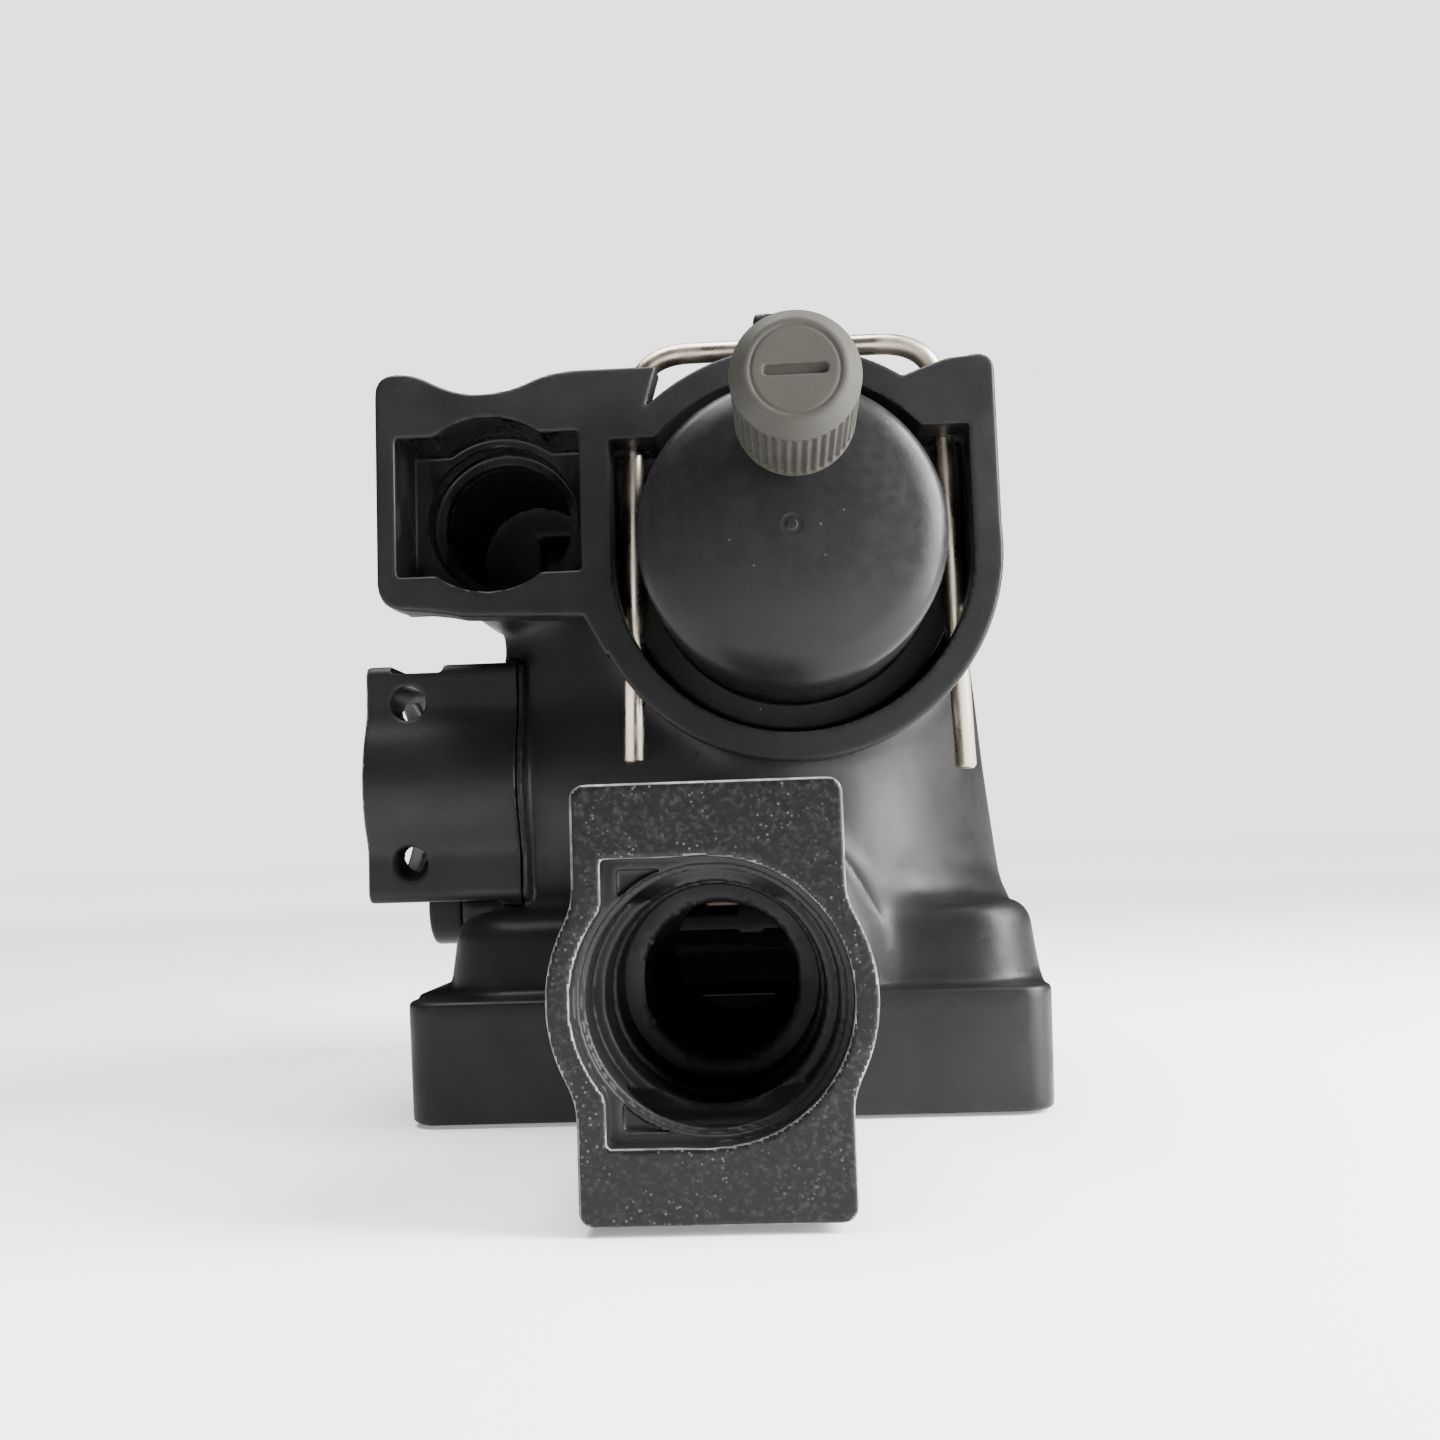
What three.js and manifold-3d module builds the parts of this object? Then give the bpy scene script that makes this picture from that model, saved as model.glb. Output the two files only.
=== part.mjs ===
// Boiler hydraulic block: a moulded diverter valve body on a square pump flange, with three
// push-in pipe sockets, an automatic air vent held by a wire clip, and a diverter cartridge.
// Lengths are millimetres, +Z up.  The block stands on its pump flange, the vent and the
// large socket point to -Y, and the side socket points to -X.

import * as THREE from "three";
import { mergeVertices } from "three/addons/utils/BufferGeometryUtils.js";
import Module from "manifold-3d";

const wasm = await Module();
wasm.setup();

// ---------------------------------------------------------------- driving dimensions

const gap = 0.3; // clearance between neighbouring pieces
const overlap = 1; // how far a cutting or joining solid runs past the face it meets
const upright = { x: 0, y: 0 }; // the flange's own axis
const level = { x: 0, z: 0 }; // the vent insert's own axis

// Square pump flange, with its origin at the centre of the underside.
const base = { half: 46.5, height: 17.6, corner: 5, edge: 1, bore: 31 };
const shoulder = { left: -42, right: 46.2, depth: 43.4, top: 29.5, corner: 12, edge: 3.5 };
const flangeBolts = { pitch: 76, hole: 3.7, depth: 11 };
const flangeSeal = { inner: 33.6, outer: 37.4, depth: 2.6 };

// Upright tower that carries the air separator chamber.
const tower = {
  x: 5.5, y: -4, foot: 39.7, waist: 37.5, head: 35.6, waistZ: 50, headZ: 74, topZ: 84,
  bore: 32.4, boreTop: 70,
};
const sideWall = { left: -33.6, front: -37, back: 30, top: 76, corner: 9, thickness: 3 };

// Automatic air vent chamber, along Y.
const vent = {
  x: 11.6, z: 78.9, faceY: -55.5, plate: 5.2, ring: 29.2, barrel: 27.4, barrelEnd: 26,
  mouth: 25.1, mouthDepth: 15, seat: 22, seatDepth: 23.5, chamber: 21, windowTop: 16.9,
};
const ear = { left: 22.5, right: 29.1, top: 26.8, slope: 15.6, corner: 2.5 };

// Spring-wire clip that locks the vent into its chamber.
const clip = {
  wire: 3, y: -47.5, topHalf: 22.3, footHalf: 23.6, topZ: 110.4, corner: 8.5, slot: 5.6,
  leftFootZ: 50.4, rightFootZ: 48,
};
const lug = { left: 7.2, right: 14.5, front: -45.4, back: -37, top: 116.8 };

// Upper pipe socket, beside the vent and on the same plate.
const portA = {
  x: -30.8, z: 87.4, mouth: 12.4, bore: 9.5, boreDepth: 15.6, end: -8, wall: 4.4,
  left: 15.9, below: 14.6, above: 19.3, corner: 3, dip: 3.4, dipHalf: 13.6, recessHalf: 13.05,
  recessHigh: 9.9, recessDepth: 11, crossY: -16, crossBore: 7.5,
};

// Two sockets of one family: a block with a round waist and a stepped bore.
const socket = {
  halfWidth: 14.15, corner: 1.6, waist: 17.1, mouth: 13.3, keyway: 15.1, keySide: 11.1,
  keyHeight: 14.6, keyDepth: 3, steps: [[13.3, 8], [11.9, 14], [11.3, 22]], bore: 9,
  pinInset: 6.4, pinOffset: 12, pinRadius: 2.6,
};
const portC = { x: 1.3, z: 23, faceY: -104.5, halfHeight: 22.4, length: 22, tube: 16.4, flare: 20.6 };
const portD = { y: -25, z: 49.35, faceX: -53.2, halfHeight: 17.85, length: 24, tube: 13 };
const flowRibs = { y: -24.5, thickness: 2, heights: [9, 15] };

// Vent insert, measured from the vent axis; y grows outwards, away from the chamber.
const insert = {
  dome: 20.4, rimY: 68.9, crownY: 72.6, edge: 2, flange: 24.3, flangeBack: 40.8,
  flangeFront: 45.8, skirt: 21.6, skirtY: 33, bore: 18, roof: 2.2,
};
const outlet = { x: -0.8, z: 11.7, boss: 5.4, bossY: 79, nipple: 3.6, nippleY: 93.6, bore: 2.2 };
const cap = {
  radius: 7.5, top: 5.9, low: 79.5, high: 97.8, bore: 4, roofY: 96, ribs: 40, ribDepth: 0.45,
  slotHalf: 3.6, slotWidth: 1.2, slotDepth: 0.7,
};
const lever = { y: 61.5, thickness: 1, width: 6, pivotZ: 15.4, floatHole: 2.3, needleHole: 1.9 };
const pin = { radius: 1, half: 4.6 };
const float = { radius: 16.4, low: 22, high: 55, stem: 1.2, collar: 3 };
const needle = { radius: 1.2, collar: 2.6, tipY: 69.7, lowY: 59 };

// Diverter cartridge, along X through the foot of the tower.
const cartridge = {
  y: 2, z: 29.5, outer: 6.4, inner: 4.6, left: -38, right: 36, boss: 9.2, bossEnd: -46.6,
  socketStart: 31, guideX: -13, seatBore: 3.2, groove: 5.5,
};
const nut = { head: 6.8, end: -53, shank: 6.3, seal: 3.8, sealDepth: 3 };
const stem = { radius: 1.6, left: -52.9, right: 22, disc: 4.2, discThickness: 3 };
const stemPlaces = { springSeat: -30, firstDisc: -8, secondDisc: 10.8 };

// ---------------------------------------------------------------- solids

// Facets round a turned piece: fine for the large barrels, coarse for pins and seals.
const fine = 36;
const medium = 20;
const coarse = 12;
const turnTo = {
  X: new THREE.Matrix4().makeRotationZ(-Math.PI / 2),
  Y: new THREE.Matrix4(),
  Z: new THREE.Matrix4().makeRotationX(Math.PI / 2),
};

// A closed geometry as a solid that can be joined and cut.
function solidOf(geometry) {
  const bare = geometry.clone();
  bare.deleteAttribute("normal");
  bare.deleteAttribute("uv");
  const merged = mergeVertices(bare, 1e-4);
  const vertProperties = merged.attributes.position.array;
  const triVerts = new Uint32Array(merged.index.array);
  return new wasm.Manifold(new wasm.Mesh({ numProp: 3, vertProperties, triVerts }));
}

function geometryOf(solid) {
  const { vertProperties, triVerts } = solid.getMesh();
  const geometry = new THREE.BufferGeometry();
  geometry.setAttribute("position", new THREE.BufferAttribute(vertProperties, 3));
  geometry.setIndex(new THREE.BufferAttribute(triVerts, 1));
  const faceted = geometry.toNonIndexed();
  faceted.computeVertexNormals();
  return faceted;
}

function join(...solids) {
  return solids.reduce((whole, piece) => whole.add(piece));
}

function cut(solid, ...tools) {
  return tools.reduce((rest, tool) => rest.subtract(tool), solid);
}

function block(x0, x1, y0, y1, z0, z1) {
  const geometry = new THREE.BoxGeometry(x1 - x0, y1 - y0, z1 - z0);
  return solidOf(geometry.translate((x0 + x1) / 2, (y0 + y1) / 2, (z0 + z1) / 2));
}

// A profile of [radius, place along the axis] pairs, turned about an axis through a centre.
function turned(axis, centre, profile, facets = medium) {
  const points = profile.map(([radius, along]) => new THREE.Vector2(radius, along));
  const geometry = new THREE.LatheGeometry(points, facets).applyMatrix4(turnTo[axis]);
  return solidOf(geometry.translate(centre.x ?? 0, centre.y ?? 0, centre.z ?? 0));
}

function rod(axis, centre, radius, from, to, facets) {
  return turned(axis, centre, [[0, from], [radius, from], [radius, to], [0, to]], facets);
}

function ring(axis, centre, inner, outer, from, to, facets) {
  const profile = [[inner, from], [outer, from], [outer, to], [inner, to], [inner, from]];
  return turned(axis, centre, profile, facets);
}

function torus(axis, centre, middle, radius, along, facets) {
  const sides = 6;
  const profile = [];
  for (let i = 0; i <= sides; i += 1) {
    const angle = (2 * Math.PI * (i % sides)) / sides;
    profile.push([middle + radius * Math.cos(angle), along + radius * Math.sin(angle)]);
  }
  return turned(axis, centre, profile, facets);
}

function roundedRectangle(x0, x1, y0, y1, corner) {
  const shape = new THREE.Shape();
  shape.absarc(x1 - corner, y0 + corner, corner, -Math.PI / 2, 0);
  shape.absarc(x1 - corner, y1 - corner, corner, 0, Math.PI / 2);
  shape.absarc(x0 + corner, y1 - corner, corner, Math.PI / 2, Math.PI);
  shape.absarc(x0 + corner, y0 + corner, corner, Math.PI, 1.5 * Math.PI);
  shape.closePath();
  return shape;
}

// A shape drawn in X and Z, as a plate from one Y to another.
function plateAlongY(shape, y0, y1) {
  const options = { depth: y1 - y0, bevelEnabled: false, curveSegments: 5 };
  const geometry = new THREE.ExtrudeGeometry(shape, options).applyMatrix4(turnTo.Z);
  return solidOf(geometry.translate(0, y1, 0));
}

// A shape drawn in Y and Z, as a plate from one X to another.
function plateAlongX(shape, x0, x1) {
  const options = { depth: x1 - x0, bevelEnabled: false, curveSegments: 5 };
  const cycle = new THREE.Matrix4().makeBasis(
    new THREE.Vector3(0, 1, 0),
    new THREE.Vector3(0, 0, 1),
    new THREE.Vector3(1, 0, 0),
  );
  const geometry = new THREE.ExtrudeGeometry(shape, options).applyMatrix4(cycle);
  return solidOf(geometry.translate(x0, 0, 0));
}

// An upright prism with a rounded upper edge; it starts at z0, where it is cut off square.
function raisedPad(x0, x1, y0, y1, z0, z1, corner, edge) {
  const outline = roundedRectangle(x0 + edge, x1 - edge, y0 + edge, y1 - edge, corner - edge);
  const options = {
    depth: z1 - z0,
    bevelEnabled: true,
    bevelThickness: edge,
    bevelSize: edge,
    bevelSegments: 2,
    curveSegments: 4,
  };
  const geometry = new THREE.ExtrudeGeometry(outline, options).translate(0, 0, z0 - edge);
  const below = block(x0 - overlap, x1 + overlap, y0 - overlap, y1 + overlap, z0 - 2 * edge, z0);
  return cut(solidOf(geometry), below);
}

// ---------------------------------------------------------------- moulded body

function pumpFlange() {
  const { half, height, corner, edge } = base;
  return raisedPad(-half, half, -half, half, 0, height, corner, edge);
}

function shoulderBlock() {
  const { left, right, depth, top, corner, edge } = shoulder;
  return raisedPad(left, right, -depth, depth, base.height - overlap, top, corner, edge);
}

// The left flank of the shoulder sweeps up from the flange in a hollow curve.
function flankFillet() {
  const radius = shoulder.left + base.half;
  const centreX = -base.half;
  const centreZ = base.height + radius;
  const shape = new THREE.Shape();
  shape.moveTo(centreX, base.height - overlap);
  shape.lineTo(shoulder.left + overlap, base.height - overlap);
  shape.lineTo(shoulder.left + overlap, centreZ);
  shape.lineTo(shoulder.left, centreZ);
  shape.absarc(centreX, centreZ, radius, 0, -Math.PI / 2, true);
  shape.closePath();
  const inset = shoulder.corner;
  return plateAlongY(shape, inset - base.half, base.half - inset);
}

function towerShell() {
  const { x, y, foot, waist, head, waistZ, headZ, topZ } = tower;
  const profile = [
    [0, base.height],
    [foot, base.height],
    [foot, shoulder.top],
    [waist, waistZ],
    [head, headZ],
    [head - 5, topZ - 2],
    [head - 12, topZ],
    [0, topZ],
  ];
  const { left, front, back, top, corner } = sideWall;
  const flank = raisedPad(left, x, front, back, base.height, top, corner, 2);
  return join(turned("Z", { x, y }, profile, fine), flank);
}

function ventPlateOutline() {
  const { x, z, corner, dip, dipHalf } = portA;
  const left = x - portA.left;
  const top = z + portA.above;
  const low = z - portA.below;
  const shape = new THREE.Shape();
  shape.moveTo(vent.x - vent.mouth - overlap, vent.z - vent.ring / 2);
  shape.lineTo(vent.x - vent.mouth - overlap, vent.z);
  shape.lineTo(vent.x - ear.slope, top - 0.6);
  shape.lineTo(x + dipHalf, top - 0.6);
  shape.quadraticCurveTo(x + 7, top - dip, x + 2, top - dip);
  shape.quadraticCurveTo(x - 4, top - dip, x - 9, top - 0.6);
  shape.quadraticCurveTo(x - 11, top, left + corner, top);
  shape.quadraticCurveTo(left, top, left, top - corner);
  shape.lineTo(left, low + corner);
  shape.quadraticCurveTo(left + 0.6, low + 0.4, left + corner, low);
  shape.lineTo(x - 5, low - 1);
  shape.lineTo(vent.x - vent.ring, low - 1.8);
  shape.closePath();
  return shape;
}

function earOutline() {
  const right = vent.x + ear.right;
  const top = vent.z + ear.top;
  const shape = new THREE.Shape();
  shape.moveTo(vent.x + ear.slope, vent.z + 10);
  shape.lineTo(right, vent.z);
  shape.lineTo(right, top - ear.corner);
  shape.quadraticCurveTo(right, top, right - ear.corner, top);
  shape.lineTo(vent.x + ear.left, top - 0.4);
  shape.lineTo(vent.x + ear.slope, top - 3);
  shape.closePath();
  return shape;
}

function ventPlate() {
  const back = vent.faceY + vent.plate;
  return join(
    rod("Y", vent, vent.ring, vent.faceY, back, fine),
    plateAlongY(ventPlateOutline(), vent.faceY, back),
    plateAlongY(earOutline(), vent.faceY, back),
  );
}

// The chamber barrel behind the plate, with a rounded far end.
function ventBarrel() {
  const { barrel, barrelEnd, faceY } = vent;
  const profile = [
    [0, faceY + overlap],
    [barrel, faceY + overlap],
    [barrel, barrelEnd - 6],
    [barrel - 6, barrelEnd],
    [0, barrelEnd],
  ];
  return turned("Y", vent, profile, fine);
}

// Square walls close the corners that the windows and the recess leave behind the plate.
function windowWalls() {
  const { x, z, mouth, windowTop, faceY } = vent;
  const back = clip.y + clip.wire + 2;
  const side = mouth + 2.4;
  return block(x - side, x + side, faceY + overlap, back, z, z + windowTop + 2.2);
}

function recessWalls() {
  const { x, z, mouth, recessHalf, recessDepth } = portA;
  const back = vent.faceY + recessDepth + 2;
  return block(
    x - recessHalf - 2, x + recessHalf + 2, vent.faceY + overlap, back,
    z - mouth - 1.2, z + mouth + 2,
  );
}

function portABarrel() {
  const outer = portA.bore + portA.wall;
  const cross = { y: portA.crossY, z: portA.z - 2 };
  const profile = [
    [0, vent.faceY + overlap],
    [outer, vent.faceY + overlap],
    [outer, portA.end - 4],
    [outer - 4, portA.end],
    [0, portA.end],
  ];
  return join(
    turned("Y", portA, profile),
    rod("X", cross, portA.crossBore + portA.wall, portA.x, vent.x, medium),
  );
}

// The waisted block at the mouth of a socket, drawn across its own axis.
function socketBlockC() {
  const { halfWidth, corner, waist } = socket;
  const { x, z, faceY, halfHeight, length } = portC;
  const outline = roundedRectangle(
    x - halfWidth, x + halfWidth, z - halfHeight, z + halfHeight, corner,
  );
  return join(
    plateAlongY(outline, faceY, faceY + length),
    rod("Y", portC, waist, faceY, faceY + length, fine),
  );
}

function socketBlockD() {
  const { halfWidth, corner, waist } = socket;
  const { y, z, faceX, halfHeight, length } = portD;
  const outline = roundedRectangle(
    y - halfWidth, y + halfWidth, z - halfHeight, z + halfHeight, corner,
  );
  return join(
    plateAlongX(outline, faceX, faceX + length),
    rod("X", portD, waist, faceX, faceX + length, fine),
  );
}

// The pipe behind the large socket widens in a smooth flare where it enters the body.
function portCTube() {
  const { faceY, length, tube, flare } = portC;
  const start = faceY + length - overlap;
  const wallY = -shoulder.depth;
  const radius = flare - tube;
  const profile = [[0, start], [tube, start]];
  const steps = 6;
  for (let i = 0; i <= steps; i += 1) {
    const angle = (i / steps) * (Math.PI / 2);
    profile.push([flare - radius * Math.cos(angle), wallY - radius + radius * Math.sin(angle)]);
  }
  profile.push([flare, tower.y], [0, tower.y]);
  return cut(
    turned("Y", portC, profile, fine),
    block(-base.half, base.half, -base.half * 2, base.half, -base.half, 1),
  );
}

function portDTube() {
  return rod("X", portD, portD.tube, portD.faceX + portD.length - overlap, tower.x);
}

function cartridgeBoss() {
  const { boss, bossEnd } = cartridge;
  return rod("X", cartridge, boss, bossEnd, tower.x, medium);
}

// The blind seat for the far end of the cartridge, inside the tower wall.
function cartridgeSocket() {
  return rod("X", cartridge, cartridge.boss, cartridge.socketStart, shoulder.right - 4, medium);
}

function clipLug() {
  const { left, right, front, back, top } = lug;
  return block(left, right, front, back, vent.z + vent.mouth, top);
}

function flowRib(height) {
  const { y, thickness } = flowRibs;
  return block(-base.bore, base.bore, y, y + thickness, height, height + thickness);
}

// ---------------------------------------------------------------- hollows of the body

function pumpBore() {
  return rod("Z", upright, base.bore, -overlap, base.height + overlap, fine);
}

function towerHollow() {
  const { left, front, back, top, thickness } = sideWall;
  const floor = base.height - overlap;
  return join(
    rod("Z", { x: tower.x, y: tower.y }, tower.bore, floor, tower.boreTop, fine),
    block(left + thickness, tower.x, front + thickness, back - thickness, floor, top - thickness),
  );
}

function ventHollow() {
  const { faceY, mouth, mouthDepth, seat, seatDepth, chamber, barrelEnd, windowTop } = vent;
  const front = faceY - overlap;
  const profile = [
    [0, front],
    [mouth, front],
    [mouth, faceY + mouthDepth],
    [seat, faceY + mouthDepth],
    [seat, faceY + seatDepth],
    [chamber, faceY + seatDepth],
    [chamber, barrelEnd - 8],
    [0, barrelEnd - 8],
  ];
  const windows = block(
    vent.x - mouth, vent.x + mouth, front, clip.y + clip.wire, vent.z, vent.z + windowTop,
  );
  return join(turned("Y", vent, profile, fine), windows);
}

function clipSlots() {
  const middle = (clip.topHalf + clip.footHalf) / 2;
  const half = clip.slot / 2;
  const depth = clip.wire / 2 + gap;
  return [-1, 1].map((side) => {
    const x = vent.x + side * middle;
    const foot = clip.rightFootZ - 2;
    return block(x - half, x + half, clip.y - depth, clip.y + depth, foot, clip.topZ + clip.wire);
  });
}

function portAHollow() {
  const { x, z, mouth, bore, boreDepth, end, recessHalf, recessHigh } = portA;
  const { faceY } = vent;
  const front = faceY - overlap;
  const profile = [
    [0, front],
    [mouth, front],
    [mouth, faceY + portA.recessDepth],
    [bore + 1.6, faceY + portA.recessDepth],
    [bore + 1.6, faceY + boreDepth],
    [bore, faceY + boreDepth],
    [bore, end - 4],
    [0, end - 4],
  ];
  const recess = block(
    x - recessHalf, x + recessHalf, front, faceY + portA.recessDepth, z - recessHigh, z + recessHigh,
  );
  const cross = rod("X", { y: portA.crossY, z: z - 2 }, portA.crossBore, x, vent.x, coarse);
  return join(turned("Y", portA, profile), recess, cross);
}

// The stepped bore of a socket: depth is counted inwards from the mouth.
function socketProfile(depth) {
  const profile = [[0, -overlap]];
  let reached = -overlap;
  for (const [radius, end] of socket.steps) {
    profile.push([radius, reached], [radius, end]);
    reached = end;
  }
  profile.push([socket.bore, reached], [socket.bore, depth], [0, depth]);
  return profile;
}

function portCHollow() {
  const { keyway, keySide, keyHeight, keyDepth, pinInset, pinOffset, pinRadius } = socket;
  const { x, z, faceY } = portC;
  const reach = tower.y - faceY;
  const mouthFace = { x, y: faceY, z };
  const ledge = faceY + keyDepth;
  const key = join(
    block(x - keySide, x, faceY - overlap, ledge, z - keyHeight, z + keyHeight),
    rod("Y", portC, keyway, faceY - overlap, ledge, fine).subtract(
      block(x, x + keyway * 2, faceY - 2, ledge + overlap, z - keyway * 2, z + keyway * 2),
    ),
  );
  const pins = [-1, 1].map((side) => {
    const place = { y: faceY + pinInset, z: z + side * pinOffset };
    return rod("X", place, pinRadius, x - socket.waist - 2, x + socket.waist + 2, coarse);
  });
  return join(turned("Y", mouthFace, socketProfile(reach), fine), key, ...pins);
}

function portDHollow() {
  const { keyway, keyDepth, pinInset, pinOffset, pinRadius } = socket;
  const { y, z, faceX, halfHeight } = portD;
  const reach = sideWall.left + sideWall.thickness + overlap - faceX;
  const mouthFace = { x: faceX, y, z };
  const wide = y + socket.waist + 2;
  const narrow = y - socket.waist - 2;
  const x = faceX + pinInset;
  const lowHole = rod("Y", { x, z: z - pinOffset }, pinRadius, narrow, wide, coarse);
  const highHole = rod("Y", { x, z: z + pinOffset }, pinRadius, narrow, wide, coarse);
  const notchFloor = z + halfHeight - 1.2;
  const notch = block(x - pinRadius, x + 2 * pinRadius, narrow, wide, notchFloor, z + 2 * halfHeight);
  return join(
    turned("X", mouthFace, socketProfile(reach), fine),
    rod("X", portD, keyway, faceX - overlap, faceX + keyDepth, fine),
    lowHole,
    highHole,
    notch,
  );
}

function cartridgeBore() {
  const { bossEnd, outer, right } = cartridge;
  return rod("X", cartridge, outer + gap, bossEnd - overlap, right + gap, medium);
}

function sealGroove() {
  return ring("Z", upright, flangeSeal.inner, flangeSeal.outer, -overlap, flangeSeal.depth, fine);
}

function boltPlaces() {
  const half = flangeBolts.pitch / 2;
  return [[-half, -half], [half, -half], [half, half], [-half, half]];
}

function boltHoles() {
  const { hole, depth } = flangeBolts;
  return boltPlaces().map(([x, y]) => rod("Z", { x, y }, hole, -overlap, depth, coarse));
}

function valveBody() {
  const outside = join(
    pumpFlange(),
    shoulderBlock(),
    flankFillet(),
    towerShell(),
    ventBarrel(),
    windowWalls(),
    ventPlate(),
    recessWalls(),
    portABarrel(),
    socketBlockC(),
    portCTube(),
    socketBlockD(),
    portDTube(),
    cartridgeBoss(),
    clipLug(),
  );
  const hollow = cut(
    outside,
    pumpBore(),
    towerHollow(),
    ventHollow(),
    ...clipSlots(),
    portAHollow(),
    portCHollow(),
    portDHollow(),
    sealGroove(),
    ...boltHoles(),
  );
  const inside = join(cartridgeSocket(), ...flowRibs.heights.map(flowRib));
  return cut(join(hollow, inside), cartridgeBore());
}

// ---------------------------------------------------------------- pieces on the flange

function flangeSealRing() {
  const { inner, outer, depth } = flangeSeal;
  const section = Math.min((outer - inner) / 2 - gap, (depth - gap) / 2);
  return torus("Z", upright, (inner + outer) / 2, section, depth / 2, fine);
}

function flangeInsert([x, y]) {
  const { hole, depth } = flangeBolts;
  return ring("Z", { x, y }, 1.9, hole - gap, gap, depth - 1.5, coarse);
}

// ---------------------------------------------------------------- wire clip

// A round wire bent to a U: two legs that spread a little, and a loop with round corners.
function clipGeometry() {
  const { topHalf, footHalf, topZ, leftFootZ, rightFootZ, corner, wire } = clip;
  const path = new THREE.CurvePath();
  const point = (x, z) => new THREE.Vector3(x, 0, z);
  const shoulderZ = topZ - corner;
  path.add(new THREE.LineCurve3(point(-footHalf, leftFootZ), point(-topHalf, shoulderZ)));
  path.add(new THREE.QuadraticBezierCurve3(
    point(-topHalf, shoulderZ), point(-topHalf, topZ), point(corner - topHalf, topZ),
  ));
  path.add(new THREE.LineCurve3(point(corner - topHalf, topZ), point(topHalf - corner, topZ)));
  path.add(new THREE.QuadraticBezierCurve3(
    point(topHalf - corner, topZ), point(topHalf, topZ), point(topHalf, shoulderZ),
  ));
  path.add(new THREE.LineCurve3(point(topHalf, shoulderZ), point(footHalf, rightFootZ)));
  const section = new THREE.Shape();
  section.absarc(0, 0, wire / 2, 0, 2 * Math.PI);
  const options = { steps: 40, extrudePath: path, bevelEnabled: false, curveSegments: 5 };
  return new THREE.ExtrudeGeometry(section, options).translate(vent.x, clip.y, 0);
}

// ---------------------------------------------------------------- automatic air vent

function ventInsertSolid() {
  const { dome, rimY, crownY, edge, flange, flangeBack, flangeFront, skirt, skirtY, bore, roof } =
    insert;
  const groove = [skirtY + 2.2, skirtY + 5];
  const profile = [
    [bore, skirtY],
    [skirt, skirtY],
    [skirt, groove[0]],
    [skirt - 1.9, groove[0]],
    [skirt - 1.9, groove[1]],
    [skirt, groove[1]],
    [skirt, flangeBack],
    [flange, flangeBack],
    [flange, flangeFront],
    [dome, flangeFront],
    [dome, rimY - edge],
    [dome - 0.6, rimY - 0.6],
    [dome - edge, rimY + 0.4],
    [dome * 0.55, crownY - 0.7],
    [0, crownY],
    [0, crownY - roof],
    [bore - 3, rimY - 1],
    [bore, rimY - 3.5],
    [bore, skirtY],
  ];
  const shell = turned("Y", level, profile, fine);
  const nipple = join(
    rod("Y", outlet, outlet.boss, rimY - 1, outlet.bossY, coarse),
    rod("Y", outlet, outlet.nipple, outlet.bossY - overlap, outlet.nippleY, coarse),
  );
  const channel = rod("Y", outlet, outlet.bore + gap, rimY - 6, outlet.nippleY + overlap, coarse);
  return join(cut(join(shell, nipple), channel), ...leverCheeks());
}

// Two cheeks under the roof carry the lever's pin.
function leverCheeks() {
  const inner = lever.width / 2 + gap;
  const z = lever.pivotZ;
  return [-1, 1].map((side) => {
    const near = outlet.x + side * inner;
    const far = outlet.x + side * (inner + 1.6);
    const cheek = block(
      Math.min(near, far), Math.max(near, far), lever.y - 2, insert.rimY - 1, z - 2, z + 2,
    );
    const hole = rod("X", { y: lever.y, z }, pin.radius + 0.05, -insert.bore, insert.bore, coarse);
    return cut(cheek, hole);
  });
}

function ventSealRing() {
  const { skirt, skirtY } = insert;
  return torus("Y", level, skirt - 0.6, 0.9, skirtY + 3.6, fine);
}

function nozzle() {
  return ring("Y", outlet, 0.7, outlet.bore, insert.rimY + 1.2, outlet.nippleY - gap, coarse);
}

function leverSolid() {
  const { y, thickness, width, pivotZ, floatHole, needleHole } = lever;
  const half = thickness / 2;
  const bar = block(
    outlet.x - width / 2, outlet.x + width / 2, y - half, y + half, -4, pivotZ,
  );
  const hub = rod("X", { y, z: pivotZ }, pin.radius + 0.9, outlet.x - width / 2,
    outlet.x + width / 2, coarse);
  return cut(
    join(bar, hub),
    rod("X", { y, z: pivotZ }, pin.radius + 0.05, -insert.bore, insert.bore, coarse),
    rod("Y", level, floatHole, y - 3, y + 3, coarse),
    rod("Y", outlet, needleHole, y - 3, y + 3, coarse),
  );
}

function leverPin() {
  return rod("X", { y: lever.y, z: lever.pivotZ }, pin.radius - 0.02, outlet.x - pin.half,
    outlet.x + pin.half, coarse);
}

function needleSolid() {
  const { radius, collar, tipY, lowY } = needle;
  const near = lever.y + 1.5;
  const profile = [
    [0, lowY],
    [collar, lowY],
    [collar, lowY + 1],
    [radius, lowY + 1],
    [radius, near],
    [collar - 0.8, near],
    [collar - 0.8, near + 1],
    [radius, near + 1],
    [radius, tipY - 1],
    [0.5, tipY],
    [0, tipY],
  ];
  return turned("Y", outlet, profile, coarse);
}

function floatSolid() {
  const { radius, low, high, stem: stemRadius, collar } = float;
  const near = lever.y - 1.9;
  const far = lever.y + 2;
  const profile = [
    [0, low + 2],
    [radius - 3, low],
    [radius, low + 3],
    [radius, high - 2],
    [radius - 2, high],
    [collar, high],
    [collar, near],
    [stemRadius, near],
    [stemRadius, far],
    [collar, far],
    [collar, far + 1],
    [0, far + 1],
  ];
  return turned("Y", level, profile, medium);
}

function capSeal() {
  return rod("Y", outlet, cap.bore - gap, outlet.nippleY + gap, cap.roofY - gap, coarse);
}

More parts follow.
